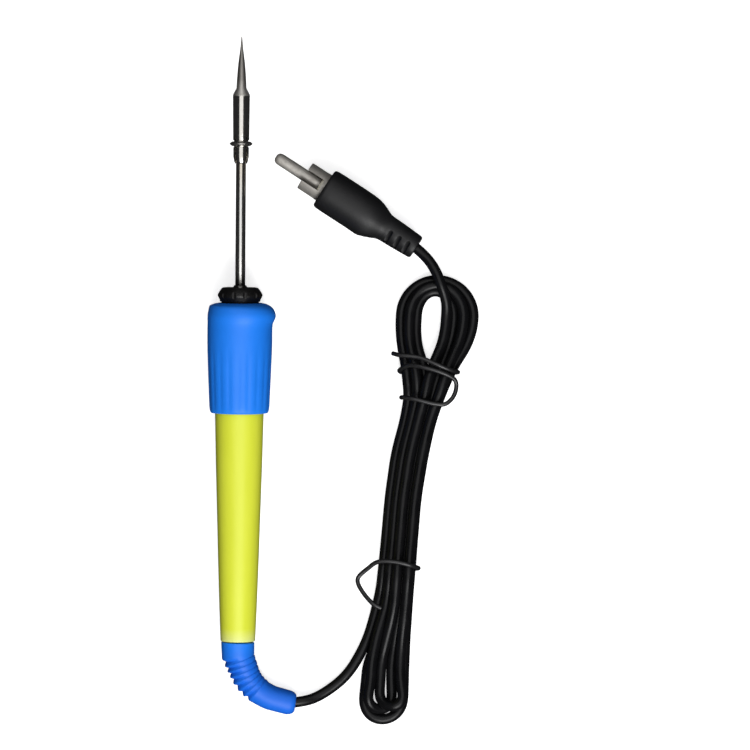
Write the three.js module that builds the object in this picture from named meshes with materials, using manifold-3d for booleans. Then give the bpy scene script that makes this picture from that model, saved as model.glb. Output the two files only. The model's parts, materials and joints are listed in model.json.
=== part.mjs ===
// A slim low-voltage soldering iron, its lead tied in a hank and ending in a phono plug.
// Millimetres. The iron lies along Y with its bit towards +Y, Z is up and the bench is z = 0.
// It rests on the grip's front lip and on the tail of its handle, so the bit points slightly up.
import * as THREE from "three";
import { mergeVertices } from "three/addons/utils/BufferGeometryUtils.js";
import Module from "manifold-3d";

const wasm = await Module();
wasm.setup();

// ---- Driving dimensions -------------------------------------------------------------------
const GAP = 0.3; // between pieces that meet
const RUNNING_GAP = 0.08; // between pieces that slide or turn on each other

const BIT = { tipY: 80.2, coneRadius: 1.31, coneRearY: 66.5, shoulderRadius: 2.23, shoulderRearY: 64.6 };
const BIT_REAR_Y = 46.6;
const BIT_GROOVE = { frontY: 52.7, rearY: 50.9, radius: 1.9 };
const RING = { radius: 3.05, thickness: 1.4, split: 0.7 };

const SHEATH = { radius: 1.325, wall: 0.2, frontY: 64.0, rearY: 9.0, frontWall: 0.5 };
const CORE = { radius: 0.5, bore: 0.28, frontY: 61.0, rearY: 9.3 };
const WINDING = { radius: 0.68, wire: 0.08, frontY: 60.0, rearY: 42.0, turns: 12 };
const MICA = { radius: 1.0, bore: 0.86, frontY: 62.6, rearY: 38.0 };
const LEAD_WIRE = 0.1;
const LEAD_SPREAD = 1.9; // sideways from the axis, where the leads are joined

const NUT = { frontY: 13.8, frontRadius: 4.75, wideY: 11.7, wideRadius: 5.95, baseY: 10.1, baseRadius: 5.55 };
const NUT_SKIRT = { radius: 5.0, rearY: 3.0 };
const NUT_LOBES = 12;
const NUT_FLUTE = { radius: 0.7, length: 6, reach: 6.25 };
const FLANGE = { bossY: 14.4, bossRadius: 1.65, neckRadius: 1.9, frontY: 12.1, rearY: 11.1, radius: 3.8 };
const SPIGOT = { radius: 2.5, rearY: 6.6 };
const INSERT = { neckRadius: 4.0, frontY: 10.8, collarRadius: 5.6, collarFrontY: 2.6, bore: 2.7, rearY: -16 };
const BEAD = { radius: 2.3, frontY: 6.1, rearY: -1.2, holeRadius: 0.35, holeOffset: 1.0 };

const HANDLE = { frontY: 0.6, frontRadius: 6.45, rearY: -80.2, tailRadius: 4.7, bore: 5.0, tailBore: 3.5 };
const HANDLE_REAR_WALL = 1.5;
const HANDLE_HOLE = 2.75;
const GRIP = { frontY: 9.7, radius: 8.6, rearY: -19.5, bore: 6.75, mouth: 5.35, mouthRearY: 2.9 };
const LIP = { radius: 9.2, y: 7.0, offset: 0.5 };

const CRIMP = { radius: 0.8, bore: 0.4, frontY: -12, rearY: -19 };
const CRIMP_SLEEVE = { radius: 1.3, bore: 1.0, frontY: -9, rearY: -22 };
const CORE_WIRE = { radius: 0.5, frontY: -19.4, rearY: -61.4, spread: 0.7 };
const CORD_RADIUS = 1.4;
const CORD_FRONT_Y = -62;
const CLAMP = { bore: CORD_RADIUS + 0.15, radius: 2.6, frontY: -72.8, rearY: -75.8 };

const BOOT = { collarRadius: 4.5, collarLength: 3.8, shankRadius: 2.45, barbRadius: 3.05, bore: 1.55 };
const BOOT_BARB = { frontY: -76.4, rearY: -78.3 };
const BOOT_RIBS = 7;
const BOOT_RIB = { pitch: 1.55, depth: 0.45, radius: 4.25, taper: 0.1 }; // each crest is lower by the taper
const BEND_STEP = 1.3; // between the rings of a bent piece

const PLUG = { radius: 5.75, bodyLength: 14.4, taperLength: 4.8, reliefRadius: 3.7, reliefEndRadius: 3.3 };
const PLUG_RELIEF_LENGTH = 10;
const RELIEF_SLOT = { count: 3, pitch: 2.7, width: 1.2, length: 4, depth: 3, turn: -0.7 }; // turned about the plug
const PLUG_SHELL = { radius: 4.0, wall: 0.42, reach: 6.1, buried: 5.5, slot: 1.6, wideSlot: 3.3 };
const PLUG_PIN = { radius: 1.6, reach: 15.3 };
const PLUG_FACE = new THREE.Vector3(22.0, 40.6, PLUG.radius); // middle of the body's front face
const PLUG_HEADING = THREE.MathUtils.degToRad(57.5); // from +Y, anticlockwise seen from above

const TIE_WIRE = 0.6; // radius
const HANK_HEIGHT = 7.6;
const FOLD_CENTRE_Y = -94.9;
const LOOP_ARC = { x: 52.2, y: 6.8, radius: 9.5 }; // middle of the outermost turn's cord
const LOOP_HOLE = { x: 51.0, y: 3.8, halfWidth: 2.4, halfLength: 7.2 };

// The outermost turn of the hank: how far along Y, and where its left and right strands lie.
const HANK_STATIONS = [
  { y: 6.8, left: 42.7, right: 61.7 },
  { y: 0.4, left: 42.7, right: 60.8 },
  { y: -4.6, left: 43.8, right: 57.8 },
  { y: -9.6, left: 44.5, right: 55.3 },
  { y: -14.6, left: 44.9, right: 53.2 },
  { y: -20.6, left: 44.2, right: 50.9 },
  { y: -29.7, left: 41.7, right: 48.8 },
  { y: -41.7, left: 40.2, right: 46.9 },
  { y: -54.7, left: 39.2, right: 45.9 },
  { y: -68.7, left: 37.9, right: 44.9 },
  { y: -78.0, left: 35.9, right: 44.4 },
  { y: -86.0, left: 34.5, right: 44.3 },
  { y: -94.9, left: 34.0, right: 44.3 },
];

// Where the lead lies between the boot and the hank, and between the hank and the plug.
const BOOT_BEND = [
  [1.1, -86.2, 4.3],
  [3.0, -90.3, 4.0],
  [6.1, -93.2, 3.75],
  [9.3, -94.8, 3.55],
  [12.1, -95.8, 3.35],
  [15.6, -96.3, 3.25],
];
const LEAD_IN_ROUTE = [
  [15.9, -96.3, 3.2],
  [18.2, -96.1, 2.7],
  [20.8, -95.2, 1.9],
  [24.5, -92.9, 1.42],
  [28.3, -89.8, 1.4],
  [30.6, -87.3, 1.4],
  [32.0, -85.3, 1.4],
];
const PLUG_LEAD_ROUTE = [
  [51.9, 18.5, 6.5],
  [51.3, 19.6, 6.45],
  [50.2, 21.3, 6.2],
  [48.6, 23.0, 5.85],
  [46.9, 24.6, 5.75],
];

// The wire ties: each wraps once round the hank, over it at TIE_TOP and under it at TIE_FOOT.
const TIE_TOP = HANK_HEIGHT + GAP + TIE_WIRE;
const TIE_FOOT = TIE_WIRE + 0.15;
const TIE_CHANNEL = { length: 50, height: 1.9, halfWidth: 1.7, x: 46 }; // under the hank, for the wire
const UPPER_TIE_Y = -8.2;
const LOWER_TIE_Y = -60.8;
const UPPER_TIE_ROUTE = [
  [39.9, -3.1, 6.6],
  [42.2, -3.8, TIE_TOP],
  [47.8, -4.4, TIE_TOP],
  [53.1, -6.2, TIE_TOP],
  [57.6, -7.4, TIE_TOP],
  [59.2, -7.9, 6.6],
  [59.0, -8.1, 2.6],
  [56.6, UPPER_TIE_Y, TIE_FOOT],
  [50.0, UPPER_TIE_Y, TIE_FOOT],
  [43.2, UPPER_TIE_Y, TIE_FOOT],
  [41.3, -8.4, 2.8],
  [41.4, -8.6, 7.2],
  [43.8, -8.6, TIE_TOP],
  [50.0, -8.6, TIE_TOP],
  [55.4, -9.6, TIE_TOP],
  [58.0, -11.2, 7.4],
  [57.7, -13.6, 7.0],
  [55.4, -16.2, TIE_TOP],
  [51.0, -16.2, TIE_TOP],
  [46.6, -15.3, TIE_TOP],
  [43.0, -14.8, TIE_TOP - 0.2],
  [42.0, -14.7, 6.4],
];
const LOWER_TIE_ROUTE = [
  [38.3, -70.9, TIE_TOP],
  [35.7, -69.3, TIE_TOP],
  [32.7, -66.3, 7.0],
  [31.7, -63.2, 6.0],
  [33.9, -60.0, 6.6],
  [36.9, -58.3, TIE_TOP],
  [41.2, -58.4, TIE_TOP],
  [46.9, -59.5, TIE_TOP],
  [48.7, -60.1, 6.4],
  [48.6, -60.4, 2.6],
  [46.8, -60.6, TIE_FOOT],
  [42.4, LOWER_TIE_Y, TIE_FOOT],
  [37.8, -60.9, TIE_FOOT],
  [35.9, -61.0, 1.6],
];

// ---- How the iron lies --------------------------------------------------------------------
const TILT = Math.atan2(LIP.radius - HANDLE.tailRadius, LIP.y - HANDLE.rearY);
const AXIS_HEIGHT = LIP.radius * Math.cos(TILT) - LIP.y * Math.sin(TILT);
const AXIS_SHIFT = ((-BIT.tipY - HANDLE.rearY) * Math.cos(TILT) + HANDLE.tailRadius * Math.sin(TILT)) / 2;

function onAxis(y) {
  return new THREE.Vector3(0, y * Math.cos(TILT) + AXIS_SHIFT, y * Math.sin(TILT) + AXIS_HEIGHT);
}

// ---- Materials ----------------------------------------------------------------------------
function finish(color, roughness, metalness) {
  return new THREE.MeshStandardMaterial({ color, roughness, metalness });
}

const FINISH = {
  plating: finish(0xb9bbbd, 0.22, 1),
  springSteel: finish(0xa9abad, 0.3, 1),
  stainless: finish(0xc4c5c6, 0.25, 1),
  ceramic: finish(0xe9e4d8, 0.7, 0),
  resistanceWire: finish(0x77736e, 0.45, 1),
  mica: finish(0xb08a5a, 0.5, 0),
  brass: finish(0xb9984f, 0.35, 1),
  bakelite: finish(0x161614, 0.45, 0),
  yellowPlastic: finish(0xd6e23f, 0.35, 0),
  bluePlastic: finish(0x2b7fee, 0.5, 0),
  copper: finish(0xb87347, 0.4, 1),
  redSleeve: finish(0xa8322a, 0.6, 0),
  cordJacket: finish(0x161618, 0.35, 0),
  tieJacket: finish(0x1c1c1c, 0.5, 0),
  plugPlastic: finish(0x1d1d1f, 0.45, 0),
  nickel: finish(0xb3b1ad, 0.3, 1),
  insulator: finish(0xe4e2da, 0.5, 0),
};

// ---- Shape helpers ------------------------------------------------------------------------
const iron = new THREE.Group();
iron.rotation.x = TILT;
iron.position.set(0, AXIS_SHIFT, AXIS_HEIGHT);
const lead = new THREE.Group();
const plug = new THREE.Group();
plug.rotation.z = PLUG_HEADING;
plug.position.copy(PLUG_FACE);

function place(group, name, geometry, material) {
  const mesh = new THREE.Mesh(geometry, material);
  mesh.name = name;
  group.add(mesh);
}

function points3(list) {
  return list.map(([x, y, z]) => new THREE.Vector3(x, y, z));
}

// A piece turned about the Y axis from [radius, y] pairs that close on themselves or on the axis.
function turned(profile, sides = 32) {
  const outline = profile.map(([radius, y]) => new THREE.Vector2(radius, y));
  return facingOut(new THREE.LatheGeometry(outline, sides));
}

function tubeProfile({ bore, radius, rearY, frontY }) {
  return [[bore, rearY], [radius, rearY], [radius, frontY], [bore, frontY], [bore, rearY]];
}

function solid(geometry) {
  const bare = new THREE.BufferGeometry();
  const loose = geometry.index ? geometry.toNonIndexed() : geometry;
  bare.setAttribute("position", loose.getAttribute("position"));
  const merged = mergeVertices(bare, 1e-4);
  const vertProperties = merged.attributes.position.array;
  const triVerts = new Uint32Array(merged.index.array);
  return new wasm.Manifold(new wasm.Mesh({ numProp: 3, vertProperties, triVerts }));
}

function geometryOf(body) {
  const mesh = body.getMesh();
  const made = new THREE.BufferGeometry();
  made.setAttribute("position", new THREE.BufferAttribute(mesh.vertProperties, 3));
  made.setIndex(new THREE.BufferAttribute(mesh.triVerts, 1));
  made.computeVertexNormals();
  return made;
}

// Turns every face round when the profile was drawn the other way.
function facingOut(geometry) {
  const position = geometry.getAttribute("position");
  const index = geometry.index;
  const corner = [new THREE.Vector3(), new THREE.Vector3(), new THREE.Vector3()];
  let volume = 0;
  for (let i = 0; i < index.count; i += 3) {
    corner.forEach((c, k) => c.fromBufferAttribute(position, index.getX(i + k)));
    volume += corner[0].dot(corner[1].cross(corner[2]));
  }
  if (volume < 0) {
    for (let i = 0; i < index.count; i += 3) {
      const first = index.getX(i);
      index.setX(i, index.getX(i + 1));
      index.setX(i + 1, first);
    }
  }
  return geometry;
}

// Bends a turned piece so that its own Y axis follows a curve, y counted along the curve.
function bentAlong(geometry, curve) {
  const up = new THREE.Vector3(0, 0, 1);
  const length = curve.getLength();
  const position = geometry.getAttribute("position");
  for (let i = 0; i < position.count; i++) {
    const share = THREE.MathUtils.clamp(position.getY(i) / length, 0, 1);
    const heading = curve.getTangentAt(share);
    const side = new THREE.Vector3().crossVectors(heading, up).normalize();
    const top = new THREE.Vector3().crossVectors(side, heading);
    const at = curve.getPointAt(share);
    at.addScaledVector(side, position.getX(i)).addScaledVector(top, position.getZ(i));
    position.setXYZ(i, at.x, at.y, at.z);
  }
  return geometry;
}

// A round wire or cord along a smooth route.
function wire(route, radius, steps, sides) {
  const section = new THREE.Shape();
  for (let i = 0; i < sides; i++) {
    const angle = (i / sides) * 2 * Math.PI;
    const corner = [radius * Math.cos(angle), radius * Math.sin(angle)];
    if (i === 0) section.moveTo(...corner);
    else section.lineTo(...corner);
  }
  const extrudePath = new THREE.CatmullRomCurve3(points3(route), false, "centripetal");
  return new THREE.ExtrudeGeometry(section, { steps, extrudePath, bevelEnabled: false });
}

function box(width, depth, height, x, y, z) {
  return new THREE.BoxGeometry(width, depth, height).translate(x, y, z);
}

function cut(geometry, tools) {
  return geometryOf(tools.reduce((body, tool) => body.subtract(solid(tool)), solid(geometry)));
}

// ---- Bit and heating element --------------------------------------------------------------
// The bit is one piece of plated copper: a fine cone, a bored barrel, and a slotted skirt whose
// four fingers the ring squeezes on to the sheath.
function addBit() {
  const bore = SHEATH.radius + RUNNING_GAP;
  const profile = [
    [0, BIT.tipY], [0.12, BIT.tipY - 0.15], [0.36, 76.9], [0.8, 73.7], [1.1, 70.5],
    [BIT.coneRadius, BIT.coneRearY], [BIT.shoulderRadius, BIT.shoulderRearY],
    [2.12, BIT_GROOVE.frontY], [BIT_GROOVE.radius, BIT_GROOVE.frontY],
    [BIT_GROOVE.radius, BIT_GROOVE.rearY], [2.05, BIT_GROOVE.rearY],
    [1.87, BIT_REAR_Y + 0.7], [1.72, BIT_REAR_Y],
    [bore, BIT_REAR_Y], [bore, SHEATH.frontY + 0.5], [0, SHEATH.frontY + 1.2],
  ];
  const slotLength = BIT_GROOVE.frontY - BIT_REAR_Y + 2.2;
  const slotY = BIT_REAR_Y - 1 + slotLength / 2;
  const slots = [-1, 1].map((side) => box(0.5, slotLength, 6, 0, slotY, 0).rotateY((side * Math.PI) / 4));
  place(iron, "bit", cut(turned(profile, 28), slots), FINISH.plating);
}

function addBitRing() {
  const middle = (BIT_GROOVE.frontY + BIT_GROOVE.rearY) / 2;
  const half = RING.thickness / 2;
  const bore = BIT_GROOVE.radius + RUNNING_GAP;
  const profile = [
    [bore, middle - half], [2.5, middle - half], [RING.radius, middle - 0.3],
    [RING.radius, middle + 0.3], [2.5, middle + half], [bore, middle + half], [bore, middle - half],
  ];
  const split = box(RING.split, 3, 4, 0, middle, -3);
  place(iron, "bit_retaining_ring", cut(turned(profile, 28), [split]), FINISH.springSteel);
}

function addSheath() {
  const { radius, wall, frontY, rearY, frontWall } = SHEATH;
  const profile = [
    [0, frontY], [radius - 0.35, frontY], [radius, frontY - 0.35], [radius, rearY],
    [radius - wall, rearY], [radius - wall, frontY - frontWall], [0, frontY - frontWall],
  ];
  place(iron, "heater_sheath", turned(profile, 28), FINISH.stainless);
}

function addHeater() {
  place(iron, "heater_core", turned(tubeProfile(CORE), 12), FINISH.ceramic);
  place(iron, "mica_sleeve", turned(tubeProfile(MICA), 20), FINISH.mica);
  const steps = WINDING.turns * 8;
  const helix = [];
  for (let i = 0; i <= steps; i++) {
    const angle = (i / 8) * 2 * Math.PI;
    const y = WINDING.rearY + ((WINDING.frontY - WINDING.rearY) * i) / steps;
    helix.push([WINDING.radius * Math.cos(angle), y, WINDING.radius * Math.sin(angle)]);
  }
  place(iron, "heater_winding", wire(helix, WINDING.wire, steps, 4), FINISH.resistanceWire);
}

// One lead returns down the core's bore, the other runs back beside the core.
function addHeaterLeads() {
  const toSplice = (side) => [
    [side * BEAD.holeOffset, BEAD.frontY + 0.2, 0],
    [side * BEAD.holeOffset, (BEAD.frontY + BEAD.rearY) / 2, 0],
    [side * BEAD.holeOffset, BEAD.rearY - 0.2, 0],
    [side * LEAD_SPREAD, -7, 0],
    [side * LEAD_SPREAD, CRIMP.frontY + GAP, 0],
  ];
  const beside = WINDING.radius + 0.04;
  const outer = [[-beside, WINDING.rearY - 0.6, 0], [-beside, 25, 0], [-beside, SHEATH.rearY + 0.6, 0]];
  const inner = [[0, CORE.frontY + 0.5, 0], [0, 35, 0], [0, CORE.rearY + 3, 0], [0, CORE.rearY - 0.2, 0]];
  place(iron, "heater_lead_a", wire([...outer, ...toSplice(-1)], LEAD_WIRE, 36, 5), FINISH.resistanceWire);
  place(iron, "heater_lead_b", wire([...inner, ...toSplice(1)], LEAD_WIRE, 48, 5), FINISH.resistanceWire);
}

// ---- Nose: flange, nut, insert and bead ---------------------------------------------------
function addElementFlange() {
  const bore = SHEATH.radius + RUNNING_GAP;
  const profile = [
    [bore, FLANGE.bossY], [FLANGE.bossRadius, FLANGE.bossY], [FLANGE.neckRadius, FLANGE.bossY - 0.9],
    [FLANGE.neckRadius, FLANGE.frontY], [FLANGE.radius, FLANGE.frontY], [FLANGE.radius, FLANGE.rearY],
    [SPIGOT.radius, FLANGE.rearY], [SPIGOT.radius, SPIGOT.rearY], [bore, SPIGOT.rearY], [bore, FLANGE.bossY],
  ];
  place(iron, "element_flange", turned(profile, 28), FINISH.stainless);
}

// The nut's rim carries shallow flutes for the fingers; its skirt runs inside the grip.
function addCollarNut() {
  const mouth = FLANGE.neckRadius + 0.2;
  const cavity = INSERT.neckRadius + 0.12;
  const cavityFrontY = FLANGE.frontY + GAP;
  const profile = [
    [mouth, NUT.frontY], [NUT.frontRadius, NUT.frontY], [5.3, NUT.frontY - 0.6],
    [NUT.wideRadius, NUT.wideY], [NUT.baseRadius, NUT.baseY], [NUT_SKIRT.radius, NUT.baseY],
    [NUT_SKIRT.radius, NUT_SKIRT.rearY], [cavity, NUT_SKIRT.rearY], [cavity, cavityFrontY],
    [mouth, cavityFrontY], [mouth, NUT.frontY],
  ];
  const flutes = [];
  const fluteMiddleY = NUT.baseY + NUT_FLUTE.length / 2 - GAP;
  for (let i = 0; i < NUT_LOBES; i++) {
    const angle = ((i + 0.5) / NUT_LOBES) * 2 * Math.PI;
    const flute = new THREE.CylinderGeometry(NUT_FLUTE.radius, NUT_FLUTE.radius, NUT_FLUTE.length, 8);
    flute.translate(NUT_FLUTE.reach * Math.cos(angle), fluteMiddleY, NUT_FLUTE.reach * Math.sin(angle));
    flutes.push(flute);
  }
  place(iron, "collar_nut", cut(turned(profile, 32), flutes), FINISH.bakelite);
}

function addNoseInsert() {
  const seatY = HANDLE.frontY + GAP;
  const plugRadius = HANDLE.bore - 0.1;
  const profile = [
    [INSERT.bore, INSERT.frontY], [INSERT.neckRadius, INSERT.frontY],
    [INSERT.neckRadius, INSERT.collarFrontY], [INSERT.collarRadius, INSERT.collarFrontY],
    [INSERT.collarRadius, seatY], [plugRadius, seatY], [plugRadius, INSERT.rearY],
    [plugRadius - 0.9, INSERT.rearY], [plugRadius - 0.9, -3], [INSERT.bore, -3], [INSERT.bore, INSERT.frontY],
  ];
  place(iron, "nose_insert", turned(profile, 28), FINISH.brass);
}

function addLeadInsulator() {
  const length = BEAD.frontY - BEAD.rearY;
  const middle = (BEAD.frontY + BEAD.rearY) / 2;
  const blank = new THREE.CylinderGeometry(BEAD.radius, BEAD.radius, length, 20).translate(0, middle, 0);
  const holes = [-1, 1].map((side) => {
    const drill = new THREE.CylinderGeometry(BEAD.holeRadius, BEAD.holeRadius, length + 2, 8);
    return drill.translate(side * BEAD.holeOffset, middle, 0);
  });
  place(iron, "lead_insulator", cut(blank, holes), FINISH.ceramic);
}

// ---- Handle and grip ----------------------------------------------------------------------
function addHandle() {
  const innerRearY = HANDLE.rearY + HANDLE_REAR_WALL;
  const profile = [
    [HANDLE.bore, HANDLE.frontY], [HANDLE.frontRadius, HANDLE.frontY], [HANDLE.frontRadius, -19.5],
    [6.1, -34.5], [5.7, -47.7], [5.4, -58.3], [5.05, -68.9], [4.85, -76],
    [HANDLE.tailRadius, HANDLE.rearY], [HANDLE_HOLE, HANDLE.rearY], [HANDLE_HOLE, innerRearY],
    [HANDLE.tailBore, innerRearY], [HANDLE.bore, -20], [HANDLE.bore, HANDLE.frontY],
  ];
  place(iron, "handle_shell", turned(profile, 28), FINISH.yellowPlastic);
}

// The lip stands out on one side, which stops the iron from rolling.
function addGrip() {
  const sleeve = [
    [GRIP.mouth, GRIP.frontY], [7.6, GRIP.frontY], [8.35, GRIP.frontY - 0.5],
    [GRIP.radius, GRIP.frontY - 1.5], [GRIP.radius, 0], [8.26, -10.1], [7.95, -18.6],
    [7.6, GRIP.rearY], [GRIP.bore, GRIP.rearY], [GRIP.bore, GRIP.mouthRearY],
    [GRIP.mouth, GRIP.mouthRearY], [GRIP.mouth, GRIP.frontY],
  ];
  const lip = [
    [7.5, 9.2], [8.4, 8.9], [9.05, 7.9], [LIP.radius, LIP.y], [9.05, 5.8], [8.5, 4.4], [7.5, 3.9], [7.5, 9.2],
  ];
  const ring = solid(turned(lip, 32).translate(LIP.offset, 0, 0));
  place(iron, "grip_sleeve", geometryOf(solid(turned(sleeve, 32)).add(ring)), FINISH.bluePlastic);
}

// ---- Wiring inside the handle -------------------------------------------------------------
function addSplice(letter, side) {
  const x = side * LEAD_SPREAD;
  const jacketX = side * CORE_WIRE.spread;
  const crimp = turned(tubeProfile(CRIMP), 12).translate(x, 0, 0);
  const sleeve = turned(tubeProfile(CRIMP_SLEEVE), 12).translate(x, 0, 0);
  const core = [
    [x, CORE_WIRE.frontY, 0], [x, -28, 0], [x, -38, 0], [jacketX, -54, 0], [jacketX, CORE_WIRE.rearY, 0],
  ];
  place(iron, "splice_" + letter, crimp, FINISH.copper);
  place(iron, "splice_sleeve_" + letter, sleeve, FINISH.redSleeve);
  place(iron, "core_wire_" + letter, wire(core, CORE_WIRE.radius, 12, 8), FINISH.redSleeve);
}

function addClamp() {
  place(iron, "cable_clamp", turned(tubeProfile(CLAMP), 20), FINISH.copper);
}

// ---- Boot, with the lead inside it --------------------------------------------------------
const bootPath = new THREE.CatmullRomCurve3(
  [CORD_FRONT_Y, -68, -74, HANDLE.rearY, -83.5].map(onAxis).concat(points3(BOOT_BEND)),
  false,
  "centripetal",
);
bootPath.arcLengthDivisions = 600;

function alongCord(y) {
  return CORD_FRONT_Y - y; // length of lead between its inner end and a place on the iron's axis
}

function addBoot() {
  const end = bootPath.getLength() - 0.05;
  const collar = alongCord(HANDLE.rearY - GAP);
  const body = collar + BOOT.collarLength;
  const profile = [
    [BOOT.bore, alongCord(BOOT_BARB.frontY)], [BOOT.shankRadius, alongCord(BOOT_BARB.frontY)],
    [BOOT.barbRadius, alongCord(BOOT_BARB.rearY) - 0.2], [BOOT.barbRadius, alongCord(BOOT_BARB.rearY)],
    [BOOT.shankRadius, alongCord(BOOT_BARB.rearY)], [BOOT.shankRadius, collar], [BOOT.collarRadius, collar],
    [BOOT.collarRadius, body],
  ];
  for (let i = 0; i < BOOT_RIBS; i++) {
    const { pitch, depth, radius, taper } = BOOT_RIB;
    const crest = radius - taper * i;
    profile.push([crest - depth, body + pitch * (i + 0.35)], [crest, body + pitch * (i + 0.9)]);
  }
  const ribsEnd = body + BOOT_RIB.pitch * BOOT_RIBS;
  profile.push([3.4, ribsEnd + 1.2], [3.35, ribsEnd + 3.5], [3.2, end - 0.6], [2.8, end]);
  for (let y = end; y > collar; y -= BEND_STEP) profile.push([BOOT.bore, y]);
  profile.push([BOOT.bore, alongCord(BOOT_BARB.frontY)]);
  place(lead, "cord_boot", bentAlong(turned(profile, 18), bootPath), FINISH.bluePlastic);
}

function addInnerCord() {
  const end = bootPath.getLength() - 0.02;
  const profile = [[0, 0], [CORD_RADIUS, 0]];
  const bent = [];
  for (let y = end; y > alongCord(HANDLE.rearY); y -= BEND_STEP) bent.unshift([CORD_RADIUS, y]);
  profile.push(...bent, [0, end]);
  place(lead, "cord_inner", bentAlong(turned(profile, 12), bootPath), FINISH.cordJacket);
}

// ---- Free lead, hank and ties -------------------------------------------------------------
// The hank's outer shape: a loop at the top, a narrow waist where it is tied, and a round fold.
function hankOutline() {
  const left = HANK_STATIONS.map(({ y, left: x }) => new THREE.Vector2(x - CORD_RADIUS, y)).reverse();
  const right = HANK_STATIONS.map(({ y, right: x }) => new THREE.Vector2(x + CORD_RADIUS, y));
  const fold = HANK_STATIONS[HANK_STATIONS.length - 1];
  const foldX = (fold.left + fold.right) / 2;
  const foldRadius = (fold.right - fold.left) / 2 + CORD_RADIUS;
  const outline = new THREE.Shape();
  outline.moveTo(left[0].x, left[0].y);
  outline.splineThru(left.slice(1));
  outline.absarc(LOOP_ARC.x, LOOP_ARC.y, LOOP_ARC.radius + CORD_RADIUS, Math.PI, 0, true);
  outline.splineThru(right.slice(1));
  outline.absarc(foldX, FOLD_CENTRE_Y, foldRadius, 0, Math.PI, true);
  const hole = new THREE.Path();
  hole.absellipse(LOOP_HOLE.x, LOOP_HOLE.y, LOOP_HOLE.halfWidth, LOOP_HOLE.halfLength, 0, 2 * Math.PI);
  outline.holes.push(hole);
  return outline;
}

function addHank() {
  const settings = { depth: HANK_HEIGHT, curveSegments: 10, bevelEnabled: false };
  const blank = new THREE.ExtrudeGeometry(hankOutline(), settings);
  const { length, height, halfWidth, x } = TIE_CHANNEL;
  const channels = [UPPER_TIE_Y, LOWER_TIE_Y].map((y) => box(length, 2 * halfWidth, 2 * height, x, y, 0));
  place(lead, "cord_hank", cut(blank, channels), FINISH.cordJacket);
}

function addFreeLead() {
  place(lead, "cord_lead_in", wire(LEAD_IN_ROUTE, CORD_RADIUS, 10, 8), FINISH.cordJacket);
  place(lead, "cord_plug_lead", wire(PLUG_LEAD_ROUTE, CORD_RADIUS, 4, 8), FINISH.cordJacket);
}

function addTies() {
  place(lead, "hank_tie_upper", wire(UPPER_TIE_ROUTE, TIE_WIRE, 56, 5), FINISH.tieJacket);
  place(lead, "hank_tie_lower", wire(LOWER_TIE_ROUTE, TIE_WIRE, 40, 5), FINISH.tieJacket);
}

// ---- Phono plug, its own Y axis pointing out along the pin --------------------------------
function addPlugBody() {
  const taperY = -PLUG.bodyLength;
  const reliefY = taperY - PLUG.taperLength;
  const endY = reliefY - PLUG_RELIEF_LENGTH;
  const pocket = PLUG_SHELL.radius + 0.15;
  const pocketY = -PLUG_SHELL.buried - GAP;
  const profile = [
    [pocket, 0], [PLUG.radius - 0.5, 0], [PLUG.radius - 0.12, -0.5], [PLUG.radius, -3],
    [PLUG.radius, taperY + 3], [5.45, taperY], [4.6, taperY - 2.4], [PLUG.reliefRadius, reliefY],
    [PLUG.reliefEndRadius, endY + 0.5], [PLUG.reliefEndRadius - 0.5, endY], [0, endY],
    [0, pocketY], [pocket, pocketY], [pocket, 0],
  ];
  const { count, pitch, width, length, depth, turn } = RELIEF_SLOT;
  const slots = [];
  for (let i = 0; i < count; i++) {
    const y = reliefY - pitch * (i + 0.8);
    const slot = box(length, width, depth, 0, y, PLUG.reliefRadius).rotateY(turn);
    slots.push(slot, slot.clone().rotateY(Math.PI));
  }
  place(plug, "plug_body", cut(turned(profile, 28), slots), FINISH.plugPlastic);
}

function addPlugContacts() {
  const bore = PLUG_SHELL.radius - PLUG_SHELL.wall;
  const { radius, reach, buried, slot, wideSlot } = PLUG_SHELL;
  const shell = [
    [bore, reach - 0.3], [bore + 0.12, reach], [radius - 0.12, reach], [radius, reach - 0.3],
    [radius, -buried], [bore - 1.2, -buried], [bore - 1.2, -buried + 0.6], [bore, -buried + 0.6],
    [bore, reach - 0.3],
  ];
  const slotY = 1.4 + reach / 2;
  const slots = [box(wideSlot, reach + 1, 12, 0, slotY, 0), box(12, reach + 1, slot, 0, slotY, 0)];
  const seat = PLUG_PIN.radius + RUNNING_GAP;
  const insulator = { bore: seat, radius: bore - RUNNING_GAP, rearY: -buried + 0.9, frontY: 0.6 };
  const pin = [
    [0, -buried], [PLUG_PIN.radius, -buried], [PLUG_PIN.radius, PLUG_PIN.reach - 1.2],
    [PLUG_PIN.radius - 0.35, PLUG_PIN.reach - 0.4], [0.7, PLUG_PIN.reach], [0, PLUG_PIN.reach],
  ];
  place(plug, "plug_shell", cut(turned(shell, 28), slots), FINISH.nickel);
  place(plug, "plug_insulator", turned(tubeProfile(insulator), 24), FINISH.insulator);
  place(plug, "plug_pin", turned(pin, 20), FINISH.nickel);
}

// ---- Assembly -----------------------------------------------------------------------------
addBit();
addBitRing();
addSheath();
addHeater();
addHeaterLeads();
addElementFlange();
addCollarNut();
addNoseInsert();
addLeadInsulator();
addHandle();
addGrip();
addSplice("a", -1);
addSplice("b", 1);
addClamp();
addBoot();
addInnerCord();
addFreeLead();
addHank();
addTies();
addPlugBody();
addPlugContacts();

const solderingIron = new THREE.Group();
solderingIron.add(iron, lead, plug);

export default solderingIron;
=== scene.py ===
# %% [markdown]
# # A slim soldering iron with its lead tied in a hank
# The iron is a row of turned parts on one axis: a bit, a shaft, a nut, a soft grip, a tube handle and
# a ribbed boot. It lies on the bench, propped on the grip's lip, so the axis points slightly up.
# The CAD frame is loaded first and stays as it is: every piece made here goes where the frame says.
# %% Load the frame
import json
import math

import bpy
import numpy as np
from mathutils import Matrix, Vector


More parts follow.
